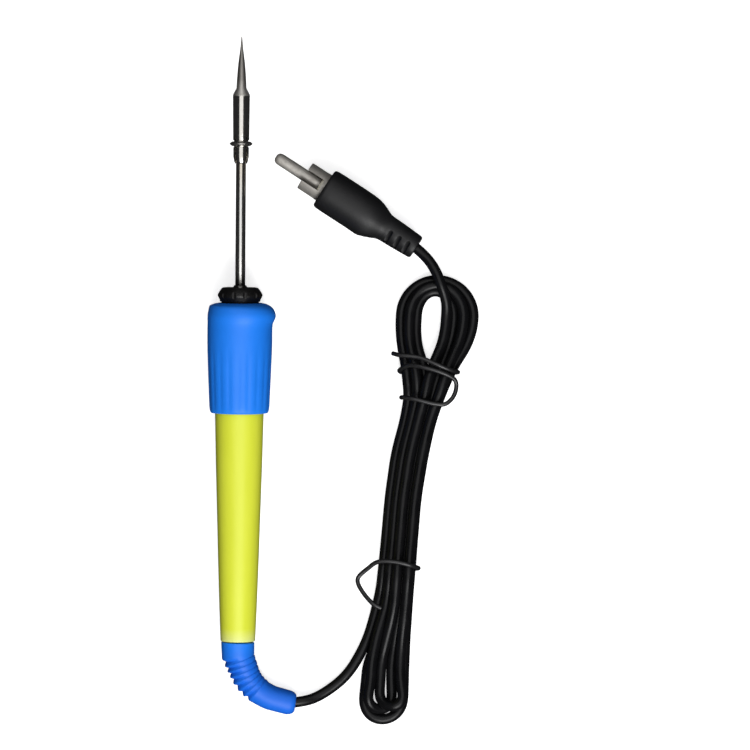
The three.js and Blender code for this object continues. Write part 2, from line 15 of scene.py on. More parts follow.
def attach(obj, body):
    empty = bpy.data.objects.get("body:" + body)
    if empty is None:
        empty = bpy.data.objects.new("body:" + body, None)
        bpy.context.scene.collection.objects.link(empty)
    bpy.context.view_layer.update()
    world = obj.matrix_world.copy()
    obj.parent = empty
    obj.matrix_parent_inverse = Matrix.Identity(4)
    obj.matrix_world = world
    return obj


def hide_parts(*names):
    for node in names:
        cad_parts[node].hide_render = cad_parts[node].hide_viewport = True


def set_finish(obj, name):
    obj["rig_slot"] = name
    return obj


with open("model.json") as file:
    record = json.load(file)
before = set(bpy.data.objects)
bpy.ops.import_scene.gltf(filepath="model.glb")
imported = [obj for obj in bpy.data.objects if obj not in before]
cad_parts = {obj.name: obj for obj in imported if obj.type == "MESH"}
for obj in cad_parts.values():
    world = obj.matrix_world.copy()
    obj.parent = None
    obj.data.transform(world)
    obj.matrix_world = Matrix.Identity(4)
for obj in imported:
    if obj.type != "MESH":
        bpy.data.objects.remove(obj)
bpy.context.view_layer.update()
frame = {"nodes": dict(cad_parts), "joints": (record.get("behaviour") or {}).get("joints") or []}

MM = 0.001

# %% [markdown]
# ## The iron's own frame
# The nut turns about the iron's axis, so the nut's joint gives that axis. Every turned part is drawn
# with the axis along Y, and is then laid down with one matrix. The drawing's zero lies 0.6 mm behind
# the tube handle's front end, so every length below reads as on the drawing of the iron.
# %% Find the iron's axis
HANDLE_FRONT = 0.6

nut_joint = next(joint for joint in frame["joints"] if joint["name"] == "collar_nut_turn")
iron_axis = Vector(nut_joint["axis"]).normalized()
tilt = math.atan2(iron_axis.z, iron_axis.y)
nut_frame = Matrix.Translation(nut_joint["pos_m"]) @ Matrix.Rotation(tilt, 4, "X")


def extent(node, laid):
    """(rear, front, radius) of a turned CAD node in millimetres, measured in a given frame."""
    back = laid.inverted()
    places = [back @ vertex.co for vertex in frame["nodes"][node].data.vertices]
    along = [place.y / MM for place in places]
    out = [math.hypot(place.x, place.z) / MM for place in places]
    return min(along), max(along), max(out)


drawing_shift = extent("handle_shell", nut_frame)[1] - HANDLE_FRONT
LAID_IRON = nut_frame @ Matrix.Translation((0, drawing_shift * MM, 0))
print("the iron's tilt in degrees:", round(math.degrees(tilt), 2))
handle_extent = extent("handle_shell", LAID_IRON)
print("handle from rear to front, and its radius:", [round(v, 2) for v in handle_extent])


# %% [markdown]
# ## Camera
# The iron is seen from straight above with a long lens, so nearly nothing of it is foreshortened.
# The camera is turned by half a degree, which makes the iron lean a little to the right.
# %% Camera
FIELD_WIDTH = 198.75 * MM
CAMERA_HEIGHT = 1.2
PICTURE_CENTRE = Vector((35.9, -9.0, 9.0)) * MM
CAMERA_ROLL = math.radians(0.47)

bpy.ops.object.select_all(action="DESELECT")
camera_place = PICTURE_CENTRE + Vector((0, 0, CAMERA_HEIGHT))
bpy.ops.object.camera_add(location=camera_place, rotation=(0, 0, CAMERA_ROLL))
camera = bpy.context.object
camera.data.lens = camera.data.sensor_width * CAMERA_HEIGHT / FIELD_WIDTH
camera.data.clip_end = 10
bpy.context.scene.camera = camera
print("lens in mm:", round(camera.data.lens, 1))

# %% [markdown]
# ## Modelling helpers
# The work is done with Blender's own operators, as by hand. An operator acts on whatever is
# selected, so each helper starts by deselecting everything.
# %% Helpers for objects and modifiers
MERGE_DISTANCE = 0.0005 * MM
SMOOTH_ANGLE = math.radians(32)


def only(piece):
    """Selects one piece and nothing else."""
    if bpy.context.mode != "OBJECT":
        bpy.ops.object.mode_set(mode="OBJECT")
    bpy.ops.object.select_all(action="DESELECT")
    piece.select_set(True)
    bpy.context.view_layer.objects.active = piece


def lay_down(piece, matrix):
    """Moves a piece to its place and writes that place into its mesh."""
    only(piece)
    piece.matrix_world = matrix
    bpy.ops.object.transform_apply(location=True, rotation=True, scale=True)
    return piece


def finish_with(piece, kind, **settings):
    """Adds a modifier with its settings and applies it."""
    only(piece)
    modifier = piece.modifiers.new(kind.title(), kind)
    for name, value in settings.items():
        setattr(modifier, name, value)
    bpy.ops.object.modifier_apply(modifier=modifier.name)
    return piece


def round_edges(piece, width, segments=3, angle=28):
    """Rounds the sharp edges by a width in millimetres and shades the rest smooth."""
    settings = {"limit_method": "ANGLE", "angle_limit": math.radians(angle), "segments": segments}
    finish_with(piece, "BEVEL", width=width * MM, use_clamp_overlap=True, harden_normals=False, **settings)
    bpy.ops.object.shade_smooth_by_angle(angle=SMOOTH_ANGLE)
    return piece


def block(size, place, turned=0.0):
    """A block of a size in millimetres, turned about Y, which is there to be cut away."""
    bpy.ops.object.select_all(action="DESELECT")
    bpy.ops.mesh.primitive_cube_add(size=MM, location=Vector(place) * MM, rotation=(0, turned, 0))
    bpy.ops.transform.resize(value=size, orient_type="LOCAL")
    return bpy.context.object


def cut_away(piece, cutter):
    """Takes the cutter's shape out of the piece and removes the cutter."""
    finish_with(piece, "BOOLEAN", operation="DIFFERENCE", solver="EXACT", object=cutter)
    bpy.data.objects.remove(cutter)
    return piece


def ride_and_replace(piece, body, slot, *nodes):
    """Ties a finished piece to its body, its finish's slot and the CAD nodes that it stands for."""
    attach(piece, body)
    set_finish(piece, slot)
    if nodes:
        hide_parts(*nodes)
    triangles = sum(len(face.vertices) - 2 for face in piece.data.polygons)
    print(piece.name, "rides on", body, "with", triangles, "triangles")


# %% [markdown]
# A turned part is made as on a lathe: half of its outline is drawn by extruding one vertex from
# point to point, and the outline is spun round the axis. An outline closes on itself or ends on the axis.
# %% Helpers for turned parts
def draw_outline(name, outline):
    """A chain of edges through (radius, along) pairs in millimetres."""
    places = [Vector((radius * MM, along * MM, 0)) for radius, along in outline]
    bpy.ops.object.select_all(action="DESELECT")
    bpy.ops.mesh.primitive_plane_add(size=MM, location=(0, 0, 0))
    piece = bpy.context.object
    piece.name = name
    bpy.ops.object.mode_set(mode="EDIT")
    bpy.ops.mesh.select_mode(type="VERT")
    bpy.ops.mesh.merge(type="CENTER")
    bpy.ops.transform.translate(value=places[0])
    for before, after in zip(places, places[1:]):
        bpy.ops.mesh.extrude_vertices_move(TRANSFORM_OT_translate={"value": after - before})
    return piece


def turn(name, outline, steps=64):
    """A turned part about the Y axis, with its seam and its poles closed and its faces outwards."""
    piece = draw_outline(name, outline)
    bpy.ops.mesh.select_all(action="SELECT")
    bpy.ops.mesh.spin(steps=steps, angle=2 * math.pi, center=(0, 0, 0), axis=(0, 1, 0))
    bpy.ops.mesh.select_all(action="SELECT")
    bpy.ops.mesh.remove_doubles(threshold=MERGE_DISTANCE)
    bpy.ops.mesh.normals_make_consistent(inside=False)
    bpy.ops.object.mode_set(mode="OBJECT")
    return piece


def smooth_line(points, per_span=4):
    """More points along a smooth curve through the given ones, by Catmull and Rom's formula."""
    before = 2 * np.array(points[0]) - points[1]
    after = 2 * np.array(points[-1]) - points[-2]
    knots = [before, *map(np.array, points), after]
    line = []
    for a, b, c, d in zip(knots, knots[1:], knots[2:], knots[3:]):
        for t in np.arange(per_span) / per_span:
            line.append(tuple(0.5 * (2 * b + (c - a) * t + (2 * a - 5 * b + 4 * c - d) * t**2
                                     + (3 * b - a - 3 * c + d) * t**3)))
    return [*line, tuple(points[-1])]


# %% [markdown]
# ## The lead
# The lead is one soft round cord. It leaves the boot, joins the hank, goes round it three times and
# runs on to the plug. In the hank it goes up the left limb, over the loop at the top, down the right
# limb and through a fold at the bottom, so each strand is placed by its share of the hank's width and
# its height. A loop lays the turns, and a short relaxation then pushes apart what lies in each other.
# %% The lead's own facts
CORD_RADIUS = 1.4
CORD_STEP = 1.8

BOOT_MOUTH = (15.5, -96.55, 3.25)
LEAD_IN_ROUTE = [
    (14.8, -96.4, 3.27), (15.8, -96.3, 3.2), (18.2, -95.9, 2.7), (20.8, -95.1, 1.9), (24.5, -92.9, 1.42),
    (28.3, -89.8, 1.4), (30.6, -87.3, 1.4), (32.0, -85.3, 1.4), (33.8, -82.4, 1.4), (35.2, -79.2, 1.4),
    (36.3, -75.2, 1.4), (37.2, -71.0, 1.4),
]
PLUG_LEAD_ROUTE = [
    (54.8, 10.2, 4.4), (54.0, 13.2, 5.6), (52.9, 16.3, 6.5), (51.9, 18.5, 6.5), (51.3, 19.6, 6.45),
    (50.2, 21.3, 6.2), (48.6, 23.0, 5.85), (46.9, 24.6, 5.75), (45.7, 25.5, 5.75),
]

# The hank's outermost turn: how far along Y, and where its left and right strands lie.
HANK_STATIONS = [
    (6.8, 42.7, 62.1), (0.4, 42.7, 61.2), (-4.6, 43.8, 57.9), (-9.6, 44.5, 55.3), (-14.6, 44.9, 53.3),
    (-20.6, 44.1, 51.1), (-29.7, 41.7, 49.1), (-41.7, 40.1, 47.2), (-54.7, 39.1, 46.2), (-68.7, 37.9, 45.1),
    (-78.0, 35.9, 44.5), (-86.0, 34.5, 44.3), (-94.9, 34.0, 44.3),
]
LOOP_Y = 6.8
FOLD_Y = -94.9
LOOP_RISE = [9.5, 6.9, 8.2]

# %% [markdown]
# Each strand has a place in the loop, in the tied bundle, in the fold's limbs and at the turn of the
# fold: a share of the width from left to right, and a height above the bench. The limbs lie close, and
# spread at the turn, because a cord can't be bent any tighter there.
# %% Where each strand lies
STRANDS = {
    "up": [
        {"loop": (0.0, 1.4), "bundle": (0.0, 1.4), "fold": (0.0, 1.4), "turn": (0.0, 1.4)},
        {"loop": (0.216, 1.4), "bundle": (0.5, 1.4), "fold": (0.0, 1.4), "turn": (0.0, 1.4)},
        {"loop": (0.11, 3.7), "bundle": (0.25, 3.62), "fold": (0.115, 3.9), "turn": (0.04, 4.2)},
        {"loop": (0.62, 3.6), "bundle": (0.5, 5.84), "fold": (0.35, 1.4), "turn": (0.34, 1.4)},
    ],
    "down": [
        {"loop": (1.0, 1.4), "bundle": (1.0, 1.4), "fold": (1.0, 1.4), "turn": (1.0, 1.4)},
        {"loop": (0.73, 1.4), "bundle": (0.75, 3.62), "fold": (0.625, 1.4), "turn": (0.66, 1.4)},
        {"loop": (0.858, 3.7), "bundle": (0.93, 6.2), "fold": (0.885, 3.9), "turn": (0.96, 4.2)},
    ],
}
LOOP_ZONE = (-14.0, 1.5)
FOLD_ZONE = (-69.0, -86.0)
TURN_ZONE = (-89.0, FOLD_Y)


def ease(value, start, end):
    """How far a value has come from start to end, from 0 to 1, with a slow start and a slow end."""
    share = min(max((value - start) / (end - start), 0.0), 1.0)
    return share * share * (3 - 2 * share)


def strand_at(way, turn_number, y):
    """The middle of one strand at a place along the hank."""
    places = STRANDS[way][turn_number]
    stations = sorted(HANK_STATIONS)
    left = np.interp(y, [s[0] for s in stations], [s[1] for s in stations])
    right = np.interp(y, [s[0] for s in stations], [s[2] for s in stations])
    in_loop = ease(y, *LOOP_ZONE)
    in_turn = ease(y, *TURN_ZONE)
    in_fold = ease(y, *FOLD_ZONE) - in_turn
    weights = {"loop": in_loop, "fold": in_fold, "turn": in_turn, "bundle": 1 - in_loop - in_fold - in_turn}
    share, height = (sum(weights[zone] * places[zone][k] for zone in weights) for k in range(2))
    return left + share * (right - left), y, height


CLIMB_START = 0.3


def arc_between(start, end, rise, count=14):
    """Half an ellipse from one strand to the next, which changes height late, past the other strands."""
    middle_x, half = (start[0] + end[0]) / 2, (start[0] - end[0]) / 2
    arc = []
    for i in range(1, count):
        angle = math.pi * i / count
        height = start[2] + (end[2] - start[2]) * ease(i / count, CLIMB_START, 1.0)
        arc.append((middle_x + half * math.cos(angle), start[1] + rise * math.sin(angle), height))
    return arc


# %% Lay the turns
STRAND_STEP = 4.0
HANK_ENTRY_Y = -66.0
TURNS = 3


def strand(way, turn_number, start, end):
    """One strand's points between two places along the hank."""
    count = max(2, round(abs(end - start) / STRAND_STEP))
    return [strand_at(way, turn_number, y) for y in np.linspace(start, end, count)]


route = LEAD_IN_ROUTE + strand("up", 0, HANK_ENTRY_Y, LOOP_Y)
for number in range(TURNS):
    if number > 0:
        route += strand("up", number, FOLD_Y, LOOP_Y)
    down = strand("down", number, LOOP_Y, FOLD_Y)
    route += arc_between(route[-1], down[0], LOOP_RISE[number]) + down
    next_up = strand_at("up", number + 1, FOLD_Y)
    route += arc_between(down[-1], next_up, -abs(down[-1][0] - next_up[0]) / 2)
route += strand("up", TURNS, FOLD_Y, LOOP_Y) + PLUG_LEAD_ROUTE
print("the route has", len(route), "points")

# %% [markdown]
# The tie wires pass under the hank, so they lift it by their own thickness, which fades out to each
# side. The points are then spaced evenly, and the relaxation moves them only where two turns touch.
# %% Lift and relax
TIE_RADIUS = 0.6
UPPER_TIE_Y = -8.2
LOWER_TIE_Y = -60.8
TIE_LIFT = 1.4
LIFT_REACH = 6.0
HANK_LEFT_OF = 30


def evenly(points, step):
    """The same line with its points a step apart."""
    points = np.array(points, float)
    lengths = np.concatenate([[0], np.cumsum(np.linalg.norm(np.diff(points, axis=0), axis=1))])
    places = np.linspace(0, lengths[-1], round(lengths[-1] / step) + 1)
    return np.column_stack([np.interp(places, lengths, points[:, k]) for k in range(3)])


def lifted(points):
    """The same points, raised over the two ties where they belong to the hank."""
    in_hank = points[:, 0] > HANK_LEFT_OF
    for tie_y in (UPPER_TIE_Y, LOWER_TIE_Y):
        lift = TIE_LIFT * np.exp(-(((points[:, 1] - tie_y) / LIFT_REACH) ** 2))
        points[:, 2] += np.where(in_hank, lift, 0)
    return points


PUSH_SHARE = 0.3
HELD_AT_BOOT, HELD_AT_PLUG = 8, 6


def settled(plan, rounds=120):
    """Pushes turns that lie in each other apart, and smooths how far each point has moved."""
    gap = 2 * CORD_RADIUS
    index = np.arange(len(plan))
    apart = np.abs(index[:, None] - index) * CORD_STEP > 3 * gap
    free = (index > HELD_AT_BOOT) & (index < len(plan) - HELD_AT_PLUG)
    moved = np.zeros_like(plan)
    for _ in range(rounds):
        points = plan + moved
        away = points[:, None] - points
        distance = np.linalg.norm(away, axis=2) + 1e-9
        push = np.where(apart & (distance < gap), PUSH_SHARE * (gap - distance) / distance, 0)
        moved += (away * push[..., None]).sum(axis=1)
        moved[1:-1] = 0.5 * moved[1:-1] + 0.25 * (moved[:-2] + moved[2:])
        moved[:, 2] = np.maximum(moved[:, 2], CORD_RADIUS - plan[:, 2])
        moved[~free] = 0
    return plan + moved


cord_line = settled(lifted(evenly(smooth_line(route, 5), CORD_STEP)))

# %% [markdown]
# A cord is swept as a curve with a round bevel, one open spline long, and then made a mesh, so that its
# box is measured from its surface. The caps are merged to the tube, and its faces point outwards.
# %% Helper for cords and wires
def round_wire(name, points, radius, resolution, bevel_resolution):
    """A round closed tube along points in millimetres."""
    data = bpy.data.curves.new(name, "CURVE")
    data.dimensions = "3D"
    data.bevel_depth = radius * MM
    data.bevel_resolution = bevel_resolution
    data.resolution_u = resolution
    data.use_fill_caps = True
    spline = data.splines.new("NURBS")
    spline.points.add(len(points) - 1)
    for point, place in zip(spline.points, points):
        point.co = (*(Vector(place) * MM), 1)
    spline.order_u = 4
    spline.use_endpoint_u = True
    wire = bpy.data.objects.new(name, data)
    bpy.context.scene.collection.objects.link(wire)
    only(wire)
    bpy.ops.object.convert(target="MESH")
    wire = bpy.context.object
    bpy.ops.object.mode_set(mode="EDIT")
    bpy.ops.mesh.select_all(action="SELECT")
    bpy.ops.mesh.remove_doubles(threshold=MERGE_DISTANCE)
    bpy.ops.mesh.normals_make_consistent(inside=False)
    bpy.ops.object.mode_set(mode="OBJECT")
    bpy.ops.object.shade_smooth_by_angle(angle=SMOOTH_ANGLE)
    return wire


lead = round_wire("lead", cord_line, CORD_RADIUS, resolution=3, bevel_resolution=5)

# %% [markdown]
# ## Wire ties
# Each tie is a short length of plastic-covered wire, wrapped once round the hank and bent by hand.
# It goes over the lifted hank at one height and under it along the bench.
# %% Ties
TIE_TOP = 9.75
TIE_FOOT = TIE_RADIUS + 0.15
UPPER_TIE_ROUTE = [
    (40.5, -3.2, 6.6), (42.6, -3.7, 8.0), (47.5, -4.2, 9.0), (52.8, -6.3, TIE_TOP), (56.2, -7.6, 8.6),
    (57.8, -8.0, 6.0), (57.8, -8.1, 2.6), (56.2, UPPER_TIE_Y, TIE_FOOT), (50.0, UPPER_TIE_Y, TIE_FOOT),
    (44.0, UPPER_TIE_Y, TIE_FOOT), (42.5, -8.0, 2.6), (42.7, -7.4, 5.2), (45.2, -6.3, 8.0),
    (50.2, -7.2, TIE_TOP - 0.2), (54.6, -8.6, TIE_TOP - 0.2), (57.0, -10.0, 8.6), (57.5, -12.0, 8.0),
    (56.7, -14.6, 8.2), (54.5, -16.6, 8.6), (51.1, -16.4, 8.9), (46.9, -15.4, 8.7), (43.6, -14.9, 7.4),
    (42.9, -14.9, 5.6),
]
LOWER_TIE_ROUTE = [
    (38.0, -70.8, 8.2), (36.0, -69.8, 8.3), (34.0, -67.8, 7.4), (32.3, -65.4, 6.6), (31.7, -63.6, 6.3),
    (32.3, -62.2, 6.5), (34.6, -60.2, 7.6), (37.0, -58.5, 8.9), (41.2, -58.4, TIE_TOP),
    (45.6, -59.3, TIE_TOP - 0.1), (47.5, -60.0, 7.4), (47.9, -60.3, 4.6), (47.4, -60.5, 2.0),
    (45.6, -60.7, TIE_FOOT), (42.4, LOWER_TIE_Y, TIE_FOOT), (39.4, -60.9, TIE_FOOT),
]
upper_tie, lower_tie = (
    round_wire(name, smooth_line(bends), TIE_RADIUS, resolution=2, bevel_resolution=4)
    for name, bends in (("upper_tie", UPPER_TIE_ROUTE), ("lower_tie", LOWER_TIE_ROUTE))
)
print("the ties have", len(UPPER_TIE_ROUTE), "and", len(LOWER_TIE_ROUTE), "bends")

# %% [markdown]
# ## Finishes
# Each finish is a node tree that ends in the Principled shader. Colours are given as sRGB hex values,
# as a paint chart would, and one function turns them to the linear values that the sockets take.
# %% Helpers for finishes
def hex_colour(code):
    """An sRGB hex colour as linear red, green, blue and alpha."""
    parts = [int(code[i : i + 2], 16) / 255 for i in (1, 3, 5)]
    linear = [part / 12.92 if part <= 0.04045 else ((part + 0.055) / 1.055) ** 2.4 for part in parts]
    return (*linear, 1.0)


def start_finish(name, **values):
    """A new material and its shader, with constant values set on the shader's own sockets."""
    material = bpy.data.materials.new(name)
    material.use_nodes = True
    shader = material.node_tree.nodes["Principled BSDF"]
    for socket, value in values.items():
        shader.inputs[socket.replace("_", " ")].default_value = value
    return material, shader


def add_node(material, kind, inputs, **settings):
    """Adds one node: settings first, then each input gets a value or a link from another socket."""
    node = material.node_tree.nodes.new("ShaderNode" + kind)
    for name, value in settings.items():
        setattr(node, name, value)
    for name, value in inputs.items():
        if isinstance(value, bpy.types.NodeSocket):
            material.node_tree.links.new(value, node.inputs[name])
        else:
            node.inputs[name].default_value = value
    return node


def join(material, output, shader, socket):
    material.node_tree.links.new(output, shader.inputs[socket])


# The Mix node has one set of sockets for each kind of data; these are the ones for colour.
MIX_FACTOR, MIX_FIRST, MIX_SECOND, MIX_RESULT = 0, 6, 7, 2


def per_metre(size_in_mm):
    """How many times a pattern of a given size repeats in a metre, which is a texture's scale."""
    return 1 / (size_in_mm * MM)


# %% [markdown]
# Turned parts have patterns that follow the iron's axis. A Mapping node of the Texture type undoes the
# iron's place and tilt, so that its Y runs along the axis in metres. It names no other object.
# %% Coordinates along the axis
axis_place = LAID_IRON.to_translation()
axis_turn = LAID_IRON.to_euler()


def along_axis(material):
    place = add_node(material, "TexCoord", {}).outputs["Object"]
    frame_inputs = {"Vector": place, "Location": axis_place, "Rotation": axis_turn}
    return add_node(material, "Mapping", frame_inputs, vector_type="TEXTURE").outputs["Vector"]


# %% [markdown]
# ### Bit: iron-plated copper under polished nickel and chromium
# The bit is turned, plated and polished. It is nearly a mirror, but the turning tool leaves rings that
# break the light into fine bands across it. The shoulder and the cone are left as turned, so they are
# duller than the barrel, and the tin on the cone makes it darker.
# A one-dimensional noise of the distance along the axis draws the rings, 0.22 mm apart.
# %% Plated bit
BIT_MOUTH, BIT_TIP, _ = extent("bit", LAID_IRON)
TINNED_FROM, TINNED_TO = BIT_TIP - 13.8, BIT_TIP - 11.5
UNPOLISHED_FROM, UNPOLISHED_TO = BIT_TIP - 16.0, BIT_TIP - 15.6
UNPOLISHED_DULLNESS = 0.36
bit_finish, shader = start_finish("polished_plated_bit", Metallic=1.0)
axis = along_axis(bit_finish)
split = add_node(bit_finish, "SeparateXYZ", {"Vector": axis})
tinned = add_node(bit_finish, "MapRange", {
    "Value": split.outputs["Y"], "From Min": TINNED_FROM * MM, "From Max": TINNED_TO * MM})
rings = add_node(bit_finish, "TexNoise", {"W": split.outputs["Y"], "Scale": per_metre(0.22), "Detail": 3.0},
                 noise_dimensions="1D")
wear = add_node(bit_finish, "TexNoise", {"Vector": axis, "Scale": per_metre(1.4), "Detail": 4.0})
colour = add_node(bit_finish, "Mix", {
    MIX_FACTOR: wear.outputs["Fac"], MIX_FIRST: hex_colour("#D2D0CC"), MIX_SECOND: hex_colour("#BDB9B2")},
    data_type="RGBA")
tipped = add_node(bit_finish, "Mix", {
    MIX_FACTOR: tinned.outputs["Result"], MIX_FIRST: colour.outputs[MIX_RESULT],
    MIX_SECOND: hex_colour("#8F8C87")}, data_type="RGBA")
join(bit_finish, tipped.outputs[MIX_RESULT], shader, "Base Color")
roughness = add_node(bit_finish, "MapRange", {
    "Value": rings.outputs["Fac"], "From Min": 0.3, "From Max": 0.7, "To Min": 0.1, "To Max": 0.2})
unpolished = add_node(bit_finish, "MapRange", {
    "Value": split.outputs["Y"], "From Min": UNPOLISHED_FROM * MM, "From Max": UNPOLISHED_TO * MM})
dulled = add_node(bit_finish, "Math", {
    0: unpolished.outputs["Result"], 1: UNPOLISHED_DULLNESS, 2: roughness.outputs["Result"]},
    operation="MULTIPLY_ADD")
join(bit_finish, dulled.outputs["Value"], shader, "Roughness")
relief = add_node(bit_finish, "Bump", {
    "Height": rings.outputs["Fac"], "Strength": 0.12, "Distance": 0.02 * MM})
join(bit_finish, relief.outputs["Normal"], shader, "Normal")

# %% [markdown]
# ### Shaft: drawn stainless tube
# A tube is drawn through a die, which leaves faint straight scratches along it. Near the bit it has been
# hot many times, and the steel there has gone slightly straw-coloured. Its foot, down in the nut, is
# painted dark brown-grey as painted shade, for the nut's shadow. The scratches are a noise that is 0.12 mm
# wide round the tube and a hundred times longer along it.
# %% Drawn stainless
STRAW_REACH = 9.0
TUBE_FOOT = extent("collar_nut", LAID_IRON)[1]
# Painted shade: the last few millimetres of the tube next to the nut get a dark brown-grey base colour for
# the nut's shadow.
SHADED_FOOT_FROM, SHADED_FOOT_TO = TUBE_FOOT + 4.0, TUBE_FOOT + 1.6
steel_finish, shader = start_finish("drawn_stainless", Metallic=1.0)
axis = along_axis(steel_finish)
split = add_node(steel_finish, "SeparateXYZ", {"Vector": axis})
heat = add_node(steel_finish, "MapRange", {
    "Value": split.outputs["Y"], "From Min": (BIT_MOUTH - STRAW_REACH) * MM, "From Max": BIT_MOUTH * MM,
    "To Max": 0.6})
colour = add_node(steel_finish, "Mix", {
    MIX_FACTOR: heat.outputs["Result"], MIX_FIRST: hex_colour("#C4C3C0"), MIX_SECOND: hex_colour("#BFB39C")},
    data_type="RGBA")
# Painted shade at the tube's foot, next to the nut.
painted_foot_shade = add_node(steel_finish, "MapRange", {
    "Value": split.outputs["Y"], "From Min": SHADED_FOOT_FROM * MM, "From Max": SHADED_FOOT_TO * MM, "To Max": 0.85})
foot_shaded_colour = add_node(steel_finish, "Mix", {
    MIX_FACTOR: painted_foot_shade.outputs["Result"], MIX_FIRST: colour.outputs[MIX_RESULT],
    MIX_SECOND: hex_colour("#3A3836")}, data_type="RGBA")
join(steel_finish, foot_shaded_colour.outputs[MIX_RESULT], shader, "Base Color")
stretched = add_node(steel_finish, "Mapping", {"Vector": axis, "Scale": (1.0, 0.01, 1.0)})
scratches = add_node(steel_finish, "TexNoise", {
    "Vector": stretched.outputs["Vector"], "Scale": per_metre(0.12), "Detail": 4.0})
roughness = add_node(steel_finish, "MapRange", {
    "Value": scratches.outputs["Fac"], "From Min": 0.3, "From Max": 0.7, "To Min": 0.15, "To Max": 0.28})
join(steel_finish, roughness.outputs["Result"], shader, "Roughness")
relief = add_node(steel_finish, "Bump", {
    "Height": scratches.outputs["Fac"], "Strength": 0.15, "Distance": 0.02 * MM})
join(steel_finish, relief.outputs["Normal"], shader, "Normal")

# %% [markdown]
# ### Finishes broken up by one noise
# Plain small parts need only one pattern: where it is strong, the surface has its second colour and is
# rougher. The pattern's size is the size of the marks that handling, tumbling or grain leaves.
# %% Helper for two-tone finishes
def two_tone(name, first, second, mark_mm, detail, roughness, contrast=(0.0, 1.0), on_axis=False, **values):
    """A finish whose colour and roughness follow one noise, between the two levels in contrast."""
    material, shader = start_finish(name, **values)
    place = along_axis(material) if on_axis else add_node(material, "TexCoord", {}).outputs["Object"]
    marks = add_node(material, "TexNoise", {"Vector": place, "Scale": per_metre(mark_mm), "Detail": detail})
    colour = add_node(material, "Mix", {
        MIX_FACTOR: marks.outputs["Fac"], MIX_FIRST: hex_colour(first), MIX_SECOND: hex_colour(second)},
        data_type="RGBA")
    join(material, colour.outputs[MIX_RESULT], shader, "Base Color")
    rough = add_node(material, "MapRange", {
        "Value": marks.outputs["Fac"], "From Min": contrast[0], "From Max": contrast[1],
        "To Min": roughness[0], "To Max": roughness[1]})
    join(material, rough.outputs["Result"], shader, "Roughness")
    return material


STRONG = (0.3, 0.7)

# %% [markdown]
# ### Ring: bright spring steel
# The ring is cut from spring wire and tumbled, so it is bright with small dull patches and no grain.
# %% Spring steel
spring_finish = two_tone("tumbled_spring_steel", "#CFCDC9", "#A39F98", 0.6, 5.0, (0.2, 0.4), STRONG,
                         on_axis=True, Metallic=1.0)

# %% [markdown]
# ### Plug contacts: nickel-plated brass
# The pin and the petals are stamped or turned brass with thin nickel over them. Nickel is greyer and a
# little warmer than chromium, and handling dulls it unevenly, so the roughness is broken up by noise.
# %% Nickel
nickel_finish = two_tone("satin_nickel_plate", "#C9C6C1", "#AAA69F", 1.2, 6.0, (0.6, 0.78), STRONG,
                         Metallic=1.0)

# %% [markdown]
# ### Nut: moulded black phenolic
# Phenolic is pressed hot in a polished mould with a wood-flour filler. It is black, hard and a little
# shiny, and the filler shows as faint brown-black specks about 0.3 mm across.
# %% Black phenolic
phenolic_finish, shader = start_finish("moulded_black_phenolic", IOR=1.6, Specular_IOR_Level=0.2)
axis = along_axis(phenolic_finish)
filler = add_node(phenolic_finish, "TexNoise", {"Vector": axis, "Scale": per_metre(0.3), "Detail": 3.0})
specks = add_node(phenolic_finish, "MapRange", {
    "Value": filler.outputs["Fac"], "From Min": 0.5, "From Max": 0.75})
colour = add_node(phenolic_finish, "Mix", {
    MIX_FACTOR: specks.outputs["Result"], MIX_FIRST: hex_colour("#0E0E0F"),
    MIX_SECOND: hex_colour("#1E1B19")}, data_type="RGBA")
join(phenolic_finish, colour.outputs[MIX_RESULT], shader, "Base Color")
roughness = add_node(phenolic_finish, "MapRange", {
    "Value": filler.outputs["Fac"], "To Min": 0.28, "To Max": 0.5})
join(phenolic_finish, roughness.outputs["Result"], shader, "Roughness")
relief = add_node(phenolic_finish, "Bump", {
    "Height": filler.outputs["Fac"], "Strength": 0.2, "Distance": 0.02 * MM})
join(phenolic_finish, relief.outputs["Normal"], shader, "Normal")

# %% [markdown]
# ### Grip and boot: soft blue plastic
# A soft plasticised PVC, moulded in a fine blasted mould. It has a satin skin: the light spreads over it
# with no sharp reflection. The colour drifts very slightly, as pigment does in a soft compound. The boot
# is the same plastic, painted a deeper blue as painted shade, because it gets less light than the grip.
# %% Blue soft plastic
HANDLE_REAR = handle_extent[0]
BOOT_SHADE_FADE = 6.0
blue_finish, shader = start_finish("soft_blue_moulded_plastic", IOR=1.53, Specular_IOR_Level=0.3)
place = add_node(blue_finish, "TexCoord", {}).outputs["Object"]
drift = add_node(blue_finish, "TexNoise", {"Vector": place, "Scale": per_metre(7.0), "Detail": 2.0})
skin = add_node(blue_finish, "TexNoise", {"Vector": place, "Scale": per_metre(0.35), "Detail": 4.0})
colour = add_node(blue_finish, "Mix", {
    MIX_FACTOR: drift.outputs["Fac"], MIX_FIRST: hex_colour("#187AEC"), MIX_SECOND: hex_colour("#2082F6")},
    data_type="RGBA")
split = add_node(blue_finish, "SeparateXYZ", {"Vector": along_axis(blue_finish)})
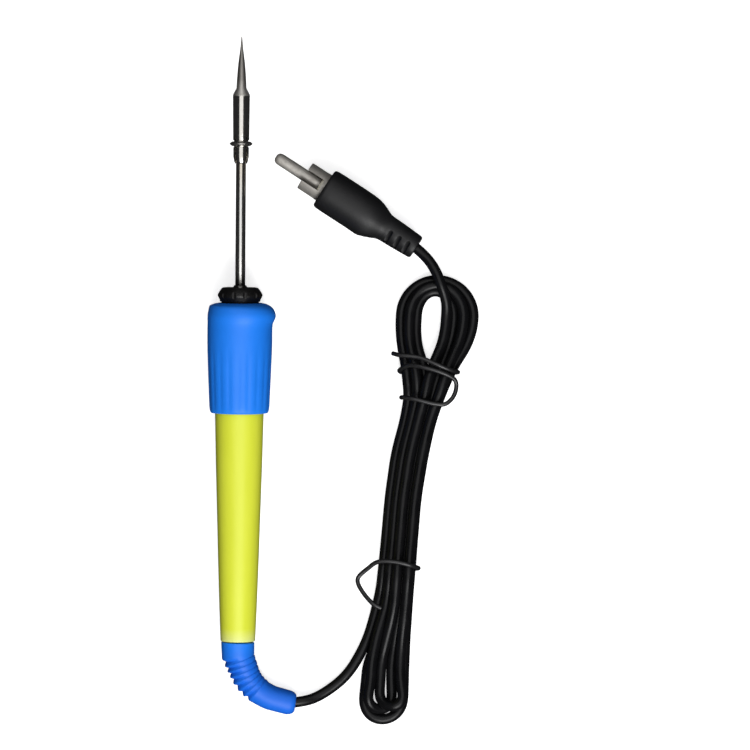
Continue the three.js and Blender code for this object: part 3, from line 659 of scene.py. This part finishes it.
# Painted shade: behind the handle's rear the boot fades to a deeper blue, for the weaker light that falls on
# it.
boot_painted_shade = add_node(blue_finish, "MapRange", {
    "Value": split.outputs["Y"], "From Min": HANDLE_REAR * MM, "From Max": (HANDLE_REAR - BOOT_SHADE_FADE) * MM})
shaded_boot_colour = add_node(blue_finish, "Mix", {
    MIX_FACTOR: boot_painted_shade.outputs["Result"], MIX_FIRST: colour.outputs[MIX_RESULT],
    MIX_SECOND: hex_colour("#1668DC")}, data_type="RGBA")
join(blue_finish, shaded_boot_colour.outputs[MIX_RESULT], shader, "Base Color")
roughness = add_node(blue_finish, "MapRange", {"Value": skin.outputs["Fac"], "To Min": 0.4, "To Max": 0.6})
join(blue_finish, roughness.outputs["Result"], shader, "Roughness")
relief = add_node(blue_finish, "Bump", {
    "Height": skin.outputs["Fac"], "Strength": 0.25, "Distance": 0.02 * MM})
join(blue_finish, relief.outputs["Normal"], shader, "Normal")

# %% [markdown]
# ### Handle: fluorescent yellow plastic
# A stiff ABS with a greenish fluorescent yellow pigment, moulded in a smoother mould than the grip, so it
# is glossier. The melt flows along the tube and leaves very faint streaks, long in that direction. The
# last few millimetres before the tail, where the wall turns in, are painted paler as a painted highlight.
# %% Yellow plastic
# Painted highlight: the last few millimetres of the handle before its tail are painted a paler yellow.
TAIL_HIGHLIGHT_REACH = 3.5
yellow_finish, shader = start_finish("fluorescent_yellow_abs", IOR=1.54, Specular_IOR_Level=0.4)
axis = along_axis(yellow_finish)
stretched = add_node(yellow_finish, "Mapping", {"Vector": axis, "Scale": (1.0, 0.12, 1.0)})
flow = add_node(yellow_finish, "TexNoise", {
    "Vector": stretched.outputs["Vector"], "Scale": per_metre(2.5), "Detail": 3.0})
skin = add_node(yellow_finish, "TexNoise", {"Vector": axis, "Scale": per_metre(0.5), "Detail": 4.0})
colour = add_node(yellow_finish, "Mix", {
    MIX_FACTOR: flow.outputs["Fac"], MIX_FIRST: hex_colour("#D6DF35"), MIX_SECOND: hex_colour("#E0E746")},
    data_type="RGBA")
split = add_node(yellow_finish, "SeparateXYZ", {"Vector": axis})
# Painted highlight at the handle's tail.
tail_highlight = add_node(yellow_finish, "MapRange", {
    "Value": split.outputs["Y"], "From Min": (HANDLE_REAR + TAIL_HIGHLIGHT_REACH) * MM, "From Max": HANDLE_REAR * MM,
    "To Max": 0.6})
highlighted_tail_colour = add_node(yellow_finish, "Mix", {
    MIX_FACTOR: tail_highlight.outputs["Result"], MIX_FIRST: colour.outputs[MIX_RESULT],
    MIX_SECOND: hex_colour("#E6ECA8")}, data_type="RGBA")
join(yellow_finish, highlighted_tail_colour.outputs[MIX_RESULT], shader, "Base Color")
roughness = add_node(yellow_finish, "MapRange", {"Value": skin.outputs["Fac"], "To Min": 0.3, "To Max": 0.46})
join(yellow_finish, roughness.outputs["Result"], shader, "Roughness")
relief = add_node(yellow_finish, "Bump", {
    "Height": skin.outputs["Fac"], "Strength": 0.12, "Distance": 0.02 * MM})
join(yellow_finish, relief.outputs["Normal"], shader, "Normal")

# %% [markdown]
# ### Lead and ties: black PVC
# The lead's jacket is extruded, so it is the glossiest black on the iron. Bending and handling dull it in
# patches a few millimetres long. The ties have the same plastic in a thinner and duller coat.
# %% Black jacket and tie coating
jacket_finish = two_tone("extruded_black_pvc", "#09090A", "#121214", 4.0, 5.0, (0.2, 0.38), STRONG,
                         IOR=1.53, Specular_IOR_Level=0.17)
tie_finish = two_tone("thin_black_coating", "#0F0F10", "#222224", 1.5, 4.0, (0.25, 0.45), IOR=1.5)

# %% [markdown]
# ### Plug: moulded black PVC
# The plug is moulded over its contacts in a spark-eroded mould, which leaves a fine matt grain. The grain
# is about 0.25 mm, and it is what keeps the plug greyer than the lead under the same light.
# %% Plug plastic
plug_finish, shader = start_finish("grained_black_pvc", IOR=1.53, Specular_IOR_Level=0.32)
place = add_node(plug_finish, "TexCoord", {}).outputs["Object"]
grain = add_node(plug_finish, "TexNoise", {"Vector": place, "Scale": per_metre(0.25), "Detail": 3.0})
smears = add_node(plug_finish, "TexNoise", {"Vector": place, "Scale": per_metre(5.0), "Detail": 3.0})
colour = add_node(plug_finish, "Mix", {
    MIX_FACTOR: smears.outputs["Fac"], MIX_FIRST: hex_colour("#0E0E0F"), MIX_SECOND: hex_colour("#19191B")},
    data_type="RGBA")
join(plug_finish, colour.outputs[MIX_RESULT], shader, "Base Color")
roughness = add_node(plug_finish, "MapRange", {"Value": grain.outputs["Fac"], "To Min": 0.36, "To Max": 0.6})
join(plug_finish, roughness.outputs["Result"], shader, "Roughness")
relief = add_node(plug_finish, "Bump", {
    "Height": grain.outputs["Fac"], "Strength": 0.35, "Distance": 0.03 * MM})
join(plug_finish, relief.outputs["Normal"], shader, "Normal")

# %% [markdown]
# ### Finishes of the hidden parts
# The parts inside the iron are seen only when it is taken apart or the bit is pulled off. Each has two
# colours broken up by noise of its own grain size, and the metals among them are metallic.
# %% Hidden parts
HIDDEN_FINISHES = {
    # slot: (name, first colour, second colour, grain in mm, metallic, lowest and highest roughness)
    "ceramic": ("unglazed_steatite", "#E4DDCD", "#D3CAB6", 0.4, 0.0, (0.7, 0.9)),
    "mica": ("rolled_mica", "#8C6A41", "#5E4327", 1.6, 0.0, (0.25, 0.5)),
    "resistance_wire": ("oxidised_heating_wire", "#6B6660", "#3C3733", 0.3, 1.0, (0.4, 0.65)),
    "brass": ("turned_brass", "#D9B25C", "#B98E3C", 0.7, 1.0, (0.22, 0.42)),
    "copper": ("tinned_copper", "#C9A184", "#9C8F86", 0.5, 1.0, (0.3, 0.5)),
    "red_sleeving": ("varnished_glass_sleeving", "#8F2118", "#B4392A", 0.25, 0.0, (0.5, 0.8)),
    "plug_insulator": ("natural_nylon", "#DEDACB", "#CFC9B5", 0.8, 0.0, (0.35, 0.55)),
}
finishes = {
    slot: two_tone(name, first, second, grain_mm, 4.0, roughness, Metallic=metallic)
    for slot, (name, first, second, grain_mm, metallic, roughness) in HIDDEN_FINISHES.items()
}
finishes.update({
    "bit_plating": bit_finish, "spring_steel": spring_finish, "stainless": steel_finish,
    "black_phenolic": phenolic_finish, "yellow_plastic": yellow_finish, "blue_soft_plastic": blue_finish,
    "cord_jacket": jacket_finish, "tie_jacket": tie_finish, "plug_plastic": plug_finish,
    "nickel": nickel_finish,
})

# %% [markdown]
# ## Bit, ring and shaft
# The bit is one turned piece of copper: a long cone, a bored barrel and a thin skirt behind a groove. Two
# crossed saw cuts make four fingers of the skirt, which the ring squeezes on to the shaft. The outline
# goes down the outside and back up the bore, so the wall is real and shows when the bit is pulled off.
# %% Bit
BIT_OUTLINE = [
    (0, 80.2), (0.07, 80.14), (0.13, 79.9), (0.24, 78.6), (0.38, 76.9), (0.62, 75.1), (0.82, 73.6),
    (0.98, 72.0), (1.12, 70.2), (1.23, 68.4), (1.33, 66.5), (2.21, 64.8), (2.24, 64.5), (2.2, 60.0),
    (2.13, 52.75), (1.9, 52.7), (1.9, 50.9), (2.07, 50.85), (2.05, 48.4), (1.76, 47.0), (1.56, 46.6),
    (1.42, 46.75), (1.405, 64.5), (0, 65.2),
]
bit = turn("soldering_bit", BIT_OUTLINE, steps=72)
SAW_CUT = 0.35
SKIRT_CUT = (45.6, 54.0)
for side in (-1, 1):
    saw_size = (SAW_CUT, SKIRT_CUT[1] - SKIRT_CUT[0], 6)
    cut_away(bit, block(saw_size, (0, sum(SKIRT_CUT) / 2, 0), side * math.pi / 4))
lay_down(round_edges(bit, 0.05, segments=2), LAID_IRON)

# %% Ring
RING_MIDDLE = 51.8
RING_GAP = (0.7, 3, 4)
ring_outline = [
    (1.98, -0.5), (2.35, -0.62), (2.75, -0.34), (3.02, -0.08), (3.02, 0.08), (2.75, 0.34), (2.35, 0.62),
    (1.98, 0.5), (1.98, -0.5),
]
ring = turn("bit_ring", [(radius, RING_MIDDLE + along) for radius, along in ring_outline], steps=64)
cut_away(ring, block(RING_GAP, (0, RING_MIDDLE, -3)))
lay_down(round_edges(ring, 0.06, segments=2), LAID_IRON)

# %% Shaft and flange
sheath_outline = [
    (0, 64.0), (0.85, 64.0), (1.2, 63.85), (1.325, 63.5), (1.325, 9.0), (1.125, 9.0), (1.125, 63.5),
    (0, 63.5),
]
sheath = turn("shaft_tube", sheath_outline, steps=72)
lay_down(round_edges(sheath, 0.04, segments=2), LAID_IRON)

flange_outline = [
    (1.405, 14.4), (1.6, 14.4), (1.72, 14.2), (1.9, 13.6), (1.9, 12.1), (3.8, 12.1), (3.8, 11.1),
    (2.5, 11.1), (2.5, 6.6), (1.405, 6.6), (1.405, 14.4),
]
flange = turn("shaft_flange", flange_outline, steps=64)
lay_down(round_edges(flange, 0.06, segments=2), LAID_IRON)

ride_and_replace(bit, "bit", "bit_plating", "bit")
ride_and_replace(ring, "bit", "spring_steel", "bit_retaining_ring")
ride_and_replace(sheath, "handle", "stainless", "heater_sheath")
ride_and_replace(flange, "handle", "stainless", "element_flange")

# %% [markdown]
# ## Nut
# The nut screws down over the shaft's flange. Its rim is fluted for the fingers. One round bar is made as
# a cutter and copied to its twelve places round the axis, and all the bars are joined and cut away at
# once.
# %% Nut
NUT_OUTLINE = [
    (2.1, 13.8), (4.4, 13.8), (4.78, 13.7), (5.2, 13.2), (5.65, 12.5), (5.93, 11.95), (5.93, 11.6),
    (5.65, 11.0), (5.4, 10.6), (5.35, 10.1), (5.0, 10.1), (5.0, 3.0), (4.12, 3.0), (4.12, 12.4),
    (2.1, 12.4), (2.1, 13.8),
]
LOBES = 12
FLUTE_RADIUS, FLUTE_REACH, FLUTE_LENGTH, FLUTE_MIDDLE = 0.75, 6.3, 6.4, 13.0
nut = turn("collar_nut_moulding", NUT_OUTLINE, steps=96)
bpy.ops.object.select_all(action="DESELECT")
bpy.ops.mesh.primitive_cylinder_add(vertices=20, radius=FLUTE_RADIUS * MM, depth=FLUTE_LENGTH * MM,
                                    rotation=(math.pi / 2, 0, 0))
bars = [bpy.context.object]
for _ in range(LOBES - 1):
    bpy.ops.object.duplicate()
    bars.append(bpy.context.object)
for i, bar in enumerate(bars):
    angle = (i + 0.5) / LOBES * 2 * math.pi
    bar.location = Vector((FLUTE_REACH * math.cos(angle), FLUTE_MIDDLE, FLUTE_REACH * math.sin(angle))) * MM
only(bars[0])
for bar in bars:
    bar.select_set(True)
bpy.ops.object.join()
cut_away(nut, bars[0])
lay_down(round_edges(nut, 0.12, segments=2, angle=35), LAID_IRON)
ride_and_replace(nut, "collar_nut", "black_phenolic", "collar_nut")

# %% [markdown]
# ## Grip
# The grip is a thick soft sleeve. Its front is rounded over, it narrows a little towards the rear, and
# twenty shallow flutes fade in behind the middle. Near the front a lip stands out on one side and stops
# the iron from rolling. The sleeve is turned first. The lip's rings are then widened and shifted
# sideways one after another, and the flutes are pressed in by drawing their columns towards the axis.
# %% Grip
GRIP_FRONT = [
    (5.35, 9.5), (5.5, 9.66), (5.85, 9.7), (6.8, 9.52), (7.6, 9.22), (8.1, 8.92), (8.35, 8.5), (8.46, 8.0),
]
GRIP_SIDE = [
    (8.54, 7.2), (8.58, 6.4), (8.6, 5.6), (8.6, 4.8), (8.6, 4.1), (8.6, 3.0), (8.6, 1.0), (8.6, -1.0),
    (8.57, -3.0), (8.52, -5.0), (8.42, -7.5), (8.33, -10.1), (8.2, -13.0), (8.1, -15.5), (8.02, -17.6),
    (7.9, -18.6),
]
GRIP_REAR = [(7.72, -19.15), (7.45, -19.45), (7.1, -19.5), (6.75, -19.4)]
GRIP_INSIDE = [(6.75, 2.9), (5.35, 2.9), (5.35, 9.45)]
# A lip ring's place along the axis, how much wider it gets and how far it shifts sideways.
LIP_RINGS = [
    (8.5, 1.01, 0.2), (8.0, 1.025, 0.34), (7.2, 1.045, 0.44), (6.4, 1.055, 0.47), (5.6, 1.045, 0.38),
    (4.8, 1.02, 0.2), (4.1, 1.005, 0.06),
]
FLUTES = 20
COLUMNS_PER_FLUTE = 8
FLUTE_DEPTH = 0.13
FLUTED_RADIUS = 8.3
# Stretches of the flutes from the middle to the rear: from, to and the share of the full depth.
FLUTE_STRETCHES = [(-4.0, -2.0, 0.3), (-6.0, -4.0, 0.65), (-18.0, -6.0, 1.0), (-18.9, -18.0, 0.6)]
LIP_OUTSIDE, FLUTES_OUTSIDE = 7.2, 7.6

grip = turn("soft_grip", GRIP_FRONT + GRIP_SIDE + GRIP_REAR + GRIP_INSIDE, steps=FLUTES * COLUMNS_PER_FLUTE)


def select_where(piece, test):
    """Selects the vertices whose place in millimetres passes a test, and leaves edit mode on."""
    only(piece)
    bpy.ops.object.mode_set(mode="EDIT")
    bpy.ops.mesh.select_mode(type="VERT")
    bpy.ops.mesh.select_all(action="DESELECT")
    bpy.ops.object.mode_set(mode="OBJECT")
    chosen = 0
    for vertex in piece.data.vertices:
        vertex.select = bool(test(vertex.co / MM))
        chosen += vertex.select
    bpy.ops.object.mode_set(mode="EDIT")
    return chosen


for along, wider, sideways in LIP_RINGS:
    select_where(
        grip, lambda place: abs(place.y - along) < 0.02 and math.hypot(place.x, place.z) > LIP_OUTSIDE)
    bpy.ops.transform.resize(value=(wider, 1, wider), center_override=(0, 0, 0))
    bpy.ops.transform.translate(value=(sideways * MM, 0, 0))

flute_turn = 2 * math.pi / FLUTES
for along_from, along_to, share in FLUTE_STRETCHES:
    for column in (0, 1, 2):
        depth = FLUTE_DEPTH * share * (0.5 + 0.5 * math.cos(column * math.pi / 3))

        def in_column(place):
            turned = math.atan2(place.z, place.x) / flute_turn
            off = abs(turned - round(turned)) * COLUMNS_PER_FLUTE
            outside = math.hypot(place.x, place.z) > FLUTES_OUTSIDE
            return outside and along_from < place.y <= along_to and abs(off - column) < 0.2

        if select_where(grip, in_column):
            scale = 1 - depth / FLUTED_RADIUS
            bpy.ops.transform.resize(value=(scale, 1, scale), center_override=(0, 0, 0))
bpy.ops.object.mode_set(mode="OBJECT")
lay_down(round_edges(grip, 0.15, segments=2, angle=50), LAID_IRON)
ride_and_replace(grip, "handle", "blue_soft_plastic", "grip_sleeve")

# %% [markdown]
# ## Tube handle
# The handle is a thin-walled moulded tube. It tapers in a slow curve to its tail, where an inward wall
# holds the boot. A smooth line through a few radii gives that curve.
# %% Handle
HANDLE_SIDE = [
    (6.45, -19.5), (6.3, -26.0), (6.1, -34.5), (5.7, -47.7), (5.4, -58.3), (5.05, -68.9), (4.8, -75.5),
    (4.62, -79.8),
]
handle_outline = [
    (5.0, HANDLE_FRONT), (6.3, HANDLE_FRONT), (6.45, 0.4), *smooth_line(HANDLE_SIDE, 3), (4.6, -80.1),
    (4.5, -80.2), (2.75, -80.2), (2.75, -78.7), (3.5, -78.7), (5.0, -20.0), (5.0, HANDLE_FRONT),
]
handle = turn("tube_handle", handle_outline, steps=96)
lay_down(round_edges(handle, 0.08, segments=2), LAID_IRON)
ride_and_replace(handle, "handle", "yellow_plastic", "handle_shell")

# %% [markdown]
# ## Boot
# The boot keeps the lead from kinking where it leaves the handle. It is turned straight, with seven
# saw-toothed ribs, and then bent along the lead's path by a Curve modifier. On the inner side of the
# bend the ribs are pressed shut, so their valleys are drawn out there to the height of the crests.
# %% Boot's path
BOOT_STRAIGHT = [-62, -68, -74, -80.2, -83.5]
BOOT_BEND = [
    (1.0, -86.4, 4.3), (2.9, -90.5, 4.0), (5.9, -93.5, 3.75), (9.1, -95.2, 3.55), (12.1, -96.1, 3.35),
    BOOT_MOUTH,
]
on_axis = [tuple((LAID_IRON @ Vector((0, along * MM, 0))) / MM) for along in BOOT_STRAIGHT]
boot_path = evenly(smooth_line(on_axis + BOOT_BEND, 12), 0.25)
boot_length = float(np.linalg.norm(np.diff(boot_path, axis=0), axis=1).sum())


def along_lead(y):
    """The length of lead between its inner end and a place on the iron's axis."""
    return BOOT_STRAIGHT[0] - y


print("the boot's path is", round(boot_length, 1), "mm long")

# %% Boot
RIBS = 7
RIB_PITCH, RIB_DEPTH, RIB_RADIUS, RIB_TAPER = 1.55, 0.7, 4.25, 0.1
VALLEY_PLACE = 0.45
collar = along_lead(-80.5)
ribs_start = collar + 3.8
boot_outline = [
    (1.55, along_lead(-76.4)), (2.45, along_lead(-76.4)), (3.05, along_lead(-78.1)),
    (3.05, along_lead(-78.3)), (2.45, along_lead(-78.3)), (2.45, collar), (4.3, collar),
    (4.42, collar + 0.15), (4.42, ribs_start - 0.3), (4.35, ribs_start),
]
for i in range(RIBS):
    crest = RIB_RADIUS - RIB_TAPER * i
    start = ribs_start + RIB_PITCH * i
    boot_outline += [(crest - RIB_DEPTH, start + VALLEY_PLACE), (crest - 0.18, start + 1.0),
                     (crest, start + 1.3), (crest - 0.04, start + 1.5)]
ribs_end = ribs_start + RIB_PITCH * RIBS
boot_outline += [
    (3.42, ribs_end + 1.2), (3.4, ribs_end + 2.5), (3.35, ribs_end + 4.0), (3.28, boot_length - 2.2),
    (3.16, boot_length - 1.4), (2.9, boot_length - 0.75), (2.45, boot_length - 0.25),
    (2.1, boot_length - 0.05), (1.55, boot_length - 0.05),
]
boot_outline += [(1.55, along) for along in np.arange(boot_length - 1.2, collar, -1.2)] + [boot_outline[0]]
boot = turn("ribbed_boot", boot_outline, steps=64)

# How much of a valley's depth stays, from the outer side of the bend (-1) to its inner side (1). The
# Curve modifier turns the straight boot's Z to the inner side.
BANDS = 12
PRESSED_SHUT_FROM, OPENING_SPAN = 0.45, 1.2


def depth_kept(side):
    """The share of a valley's depth that stays at a place round the boot."""
    return min(max((PRESSED_SHUT_FROM - side) / OPENING_SPAN, 0.0), 1.0)


for band in range(BANDS):
    low, high = (2 * k / BANDS - 1 for k in (band, band + 1))
    kept = depth_kept((low + high) / 2)

    def in_band(place):
        out = math.hypot(place.x, place.z)
        along = (place.y - ribs_start) % RIB_PITCH
        in_valley = abs(along - VALLEY_PLACE) < 0.05 and ribs_start < place.y < ribs_end and out > 2
        return in_valley and low <= place.z / out < high + 1e-6 * (band == BANDS - 1)

    if select_where(boot, in_band):
        middle_crest = RIB_RADIUS - RIB_TAPER * RIBS / 2
        scale = (middle_crest - RIB_DEPTH * kept) / (middle_crest - RIB_DEPTH)
        bpy.ops.transform.resize(value=(scale, 1, scale), center_override=(0, 0, 0))
bpy.ops.object.mode_set(mode="OBJECT")
round_edges(boot, 0.1, segments=2, angle=40)

guide_data = bpy.data.curves.new("boot_guide", "CURVE")
guide_data.dimensions = "3D"
guide_data.twist_mode = "Z_UP"
guide_line = guide_data.splines.new("POLY")
guide_line.points.add(len(boot_path) - 1)
for point, place in zip(guide_line.points, boot_path):
    point.co = (*(Vector(place) * MM), 1)
guide = bpy.data.objects.new("boot_guide", guide_data)
bpy.context.scene.collection.objects.link(guide)
finish_with(boot, "CURVE", object=guide, deform_axis="POS_Y")
bpy.data.objects.remove(guide)
only(boot)
bpy.ops.object.shade_smooth_by_angle(angle=SMOOTH_ANGLE)
ride_and_replace(boot, "handle", "blue_soft_plastic", "cord_boot")

# %% [markdown]
# ## Phono plug
# The plug has a moulded body, a slotted nickel shell that is the outer contact, and a pin. It is drawn
# with its axis along Y, its front face at zero and the pin towards +Y, and then laid on the bench.
# %% Plug's frame
PLUG_TURN = math.radians(57.5)
plug_face = Vector((22.0, 40.6, 5.75)) * MM
LAID_PLUG = Matrix.Translation(plug_face) @ Matrix.Rotation(PLUG_TURN, 4, "Z")
plug_extent = extent("plug_body", LAID_PLUG)
print("the plug from rear to front, and its radius:", [round(v, 2) for v in plug_extent])

# %% Plug body
PLUG_OUTLINE = [
    (4.15, 0), (5.05, 0), (5.3, -0.06), (5.6, -0.45), (5.7, -1.0), (5.75, -3.0), (5.75, -7.0), (5.74, -10.0),
    (5.68, -12.4), (5.5, -14.2), (5.15, -15.7), (4.65, -17.0), (4.15, -18.1), (3.8, -19.0), (3.68, -20.0),
    (3.6, -23.0), (3.45, -26.0), (3.32, -28.4), (3.15, -29.0), (2.8, -29.2), (0, -29.2), (0, -5.8),
    (4.15, -5.8), (4.15, 0),
]
plug_body = turn("plug_moulding", PLUG_OUTLINE, steps=80)
select_where(plug_body, lambda place: place.x < -4.5 and -16 < place.y < -13.5)
bpy.ops.transform.translate(value=(-0.35 * MM, 0, 0), use_proportional_edit=True, proportional_size=3 * MM)
bpy.ops.object.mode_set(mode="OBJECT")

# %% [markdown]
# The tail has pairs of rounded slots that let it flex, and the taper has a shallow dish for the thumb.
# The slots' cutter is a bar with rounded ends, made once and copied. The dish's cutter is a flattened
# ball.
# %% Slots and thumb dish
SLOTS = 3
SLOT_PITCH, SLOT_WIDTH, SLOT_LENGTH, SLOT_DEPTH = 2.7, 1.25, 4.4, 3.0
SLOT_TURN = -0.6
SLOTS_FROM, SLOT_MIDDLE_HEIGHT = -19.2, 3.7

bar = block((SLOT_LENGTH, SLOT_WIDTH, SLOT_DEPTH), (0, 0, SLOT_MIDDLE_HEIGHT))
bpy.ops.object.transform_apply(location=True, rotation=True, scale=True)
bpy.ops.object.mode_set(mode="EDIT")
bpy.ops.mesh.select_mode(type="EDGE")
bpy.ops.mesh.select_all(action="DESELECT")
bpy.ops.object.mode_set(mode="OBJECT")
for edge in bar.data.edges:
    first, second = (bar.data.vertices[k].co for k in edge.vertices)
    edge.select = abs(first.z - second.z) > MM
bpy.ops.object.mode_set(mode="EDIT")
bpy.ops.mesh.bevel(offset=0.48 * SLOT_WIDTH * MM, segments=5, affect="EDGES")
bpy.ops.object.mode_set(mode="OBJECT")
for i in range(SLOTS):
    along = SLOTS_FROM - SLOT_PITCH * (i + 0.8)
    for side in (0, math.pi):
        only(bar)
        bpy.ops.object.duplicate()
        to_slot = Matrix.Rotation(SLOT_TURN + side, 4, "Y") @ Matrix.Translation((0, along * MM, 0))
        cut_away(plug_body, lay_down(bpy.context.object, to_slot))
bpy.data.objects.remove(bar)

DISH_PLACE = Vector((-6.6, -17.0, 1.0))
bpy.ops.object.select_all(action="DESELECT")
bpy.ops.mesh.primitive_uv_sphere_add(segments=48, ring_count=24, radius=MM, location=DISH_PLACE * MM)
ball = bpy.context.object
bpy.ops.transform.resize(value=(2.6, 4.2, 3.6))
cut_away(plug_body, ball)
lay_down(round_edges(plug_body, 0.12, segments=2, angle=40), LAID_PLUG)
ride_and_replace(plug_body, "handle", "plug_plastic", "plug_body")

# %% Contacts
SHELL_OUTLINE = [
    (3.58, 5.8), (3.68, 6.06), (3.82, 6.1), (3.93, 6.0), (4.0, 5.7), (4.0, -5.5), (2.38, -5.5),
    (2.38, -4.9), (3.58, -4.9), (3.58, 5.8),
]
plug_shell = turn("plug_petals", SHELL_OUTLINE, steps=80)
SLOT_MIDDLE, SLOT_REACH = 4.45, 7.1
for width, height in ((3.3, 12), (12, 1.6)):
    cut_away(plug_shell, block((width, SLOT_REACH, height), (0, SLOT_MIDDLE, 0)))
lay_down(round_edges(plug_shell, 0.07, segments=2), LAID_PLUG)

insulator_outline = [(1.68, 1.5), (1.9, 1.5), (3.2, 1.35), (3.5, 1.0), (3.5, -4.6), (1.68, -4.6), (1.68, 1.5)]
plug_insulator = turn("plug_insert", insulator_outline, steps=48)
lay_down(round_edges(plug_insulator, 0.06, segments=2), LAID_PLUG)

PIN_OUTLINE = [
    (0, -5.5), (1.6, -5.5), (1.6, 13.6), (1.56, 14.1), (1.42, 14.6), (1.15, 15.0), (0.75, 15.22),
    (0.35, 15.3), (0, 15.3),
]
plug_pin = turn("plug_centre_pin", PIN_OUTLINE, steps=48)
lay_down(round_edges(plug_pin, 0.06, segments=2, angle=60), LAID_PLUG)

ride_and_replace(plug_shell, "handle", "nickel", "plug_shell")
ride_and_replace(plug_insulator, "handle", "plug_insulator", "plug_insulator")
ride_and_replace(plug_pin, "handle", "nickel", "plug_pin")

ride_and_replace(lead, "handle", "cord_jacket", "cord_lead_in", "cord_hank", "cord_plug_lead")
ride_and_replace(upper_tie, "handle", "tie_jacket", "hank_tie_upper")
ride_and_replace(lower_tie, "handle", "tie_jacket", "hank_tie_lower")

# %% [markdown]
# ## Give every piece its finish
# A new piece takes the finish of its slot, and so does every CAD node that stays: the heater, its leads,
# the insert in the nose, the splices, the clamp and the lead inside the handle.
# %% Give finishes
NODE_SLOTS = {
    "heater_core": "ceramic", "mica_sleeve": "mica", "heater_winding": "resistance_wire",
    "heater_lead_a": "resistance_wire", "heater_lead_b": "resistance_wire", "nose_insert": "brass",
    "lead_insulator": "ceramic", "splice_a": "copper", "splice_b": "copper",
    "splice_sleeve_a": "red_sleeving", "splice_sleeve_b": "red_sleeving", "core_wire_a": "red_sleeving",
    "core_wire_b": "red_sleeving", "cable_clamp": "copper", "cord_inner": "cord_jacket",
}
new_pieces = [
    bit, ring, sheath, flange, nut, grip, handle, boot, plug_body, plug_shell, plug_insulator, plug_pin,
    lead, upper_tie, lower_tie,
]
for piece in new_pieces:
    piece.data.materials.clear()
    piece.data.materials.append(finishes[piece["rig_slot"]])
for name, slot in NODE_SLOTS.items():
    node = frame["nodes"][name]
    for material_slot in node.material_slots:
        material_slot.material = finishes[slot]
print("pieces:", len(new_pieces), "and CAD nodes kept:", len(NODE_SLOTS))

# %% [markdown]
# ## Bench and light
# A plain pale floor, a soft light overhead, a second one from the handle's end and a weak strip beyond
# the tip, which the bit's shoulder mirrors. The long parts lie along Y, so their sides mirror only what
# stands to the left and right, which is dark: that draws the dark edges of the metal. The overhead light
# draws the bright line along the middle.
# %% Bench and light
FLOOR_SIZE = 3.0
bpy.ops.object.select_all(action="DESELECT")
bpy.ops.mesh.primitive_plane_add(size=FLOOR_SIZE, location=(0, 0, 0))
bench = bpy.context.object
bench.name = "bench"
bench_finish, shader = start_finish("white_paper", Base_Color=hex_colour("#F6F6F6"), Roughness=0.9,
                                    Emission_Color=hex_colour("#FFFFFF"), Emission_Strength=0.6)
bench.data.materials.append(bench_finish)
bench.visible_glossy = False
bench.visible_diffuse = False


def soft_light(name, place, aim, width, length, power):
    """A rectangular area light of a size in metres, turned to face a point."""
    bpy.ops.object.select_all(action="DESELECT")
    facing = (Vector(aim) - Vector(place)).to_track_quat("-Z", "Y").to_euler()
    bpy.ops.object.light_add(type="AREA", location=place, rotation=facing)
    light = bpy.context.object
    light.name = name
    light.data.shape = "RECTANGLE"
    light.data.size = width
    light.data.size_y = length
    light.data.energy = power
    return light


aim = (0.035, -0.01, 0)
soft_light("overhead", (0.035, -0.1, 1.0), aim, width=0.95, length=1.7, power=7)
soft_light("from_the_rear", (0.25, -1.0, 1.1), aim, width=0.9, length=0.9, power=19)
soft_light("from_the_tip", (0.035, 1.15, 1.0), aim, width=1.5, length=0.3, power=2.2)

world = bpy.data.worlds.new("dim_room")
bpy.context.scene.world = world
world.use_nodes = True
room = world.node_tree.nodes["Background"]
room.inputs["Color"].default_value = (0.03, 0.03, 0.032, 1)
room.inputs["Strength"].default_value = 1.0
bpy.context.scene.view_settings.view_transform = "Standard"
print("lights:", [light.name for light in bpy.data.lights])
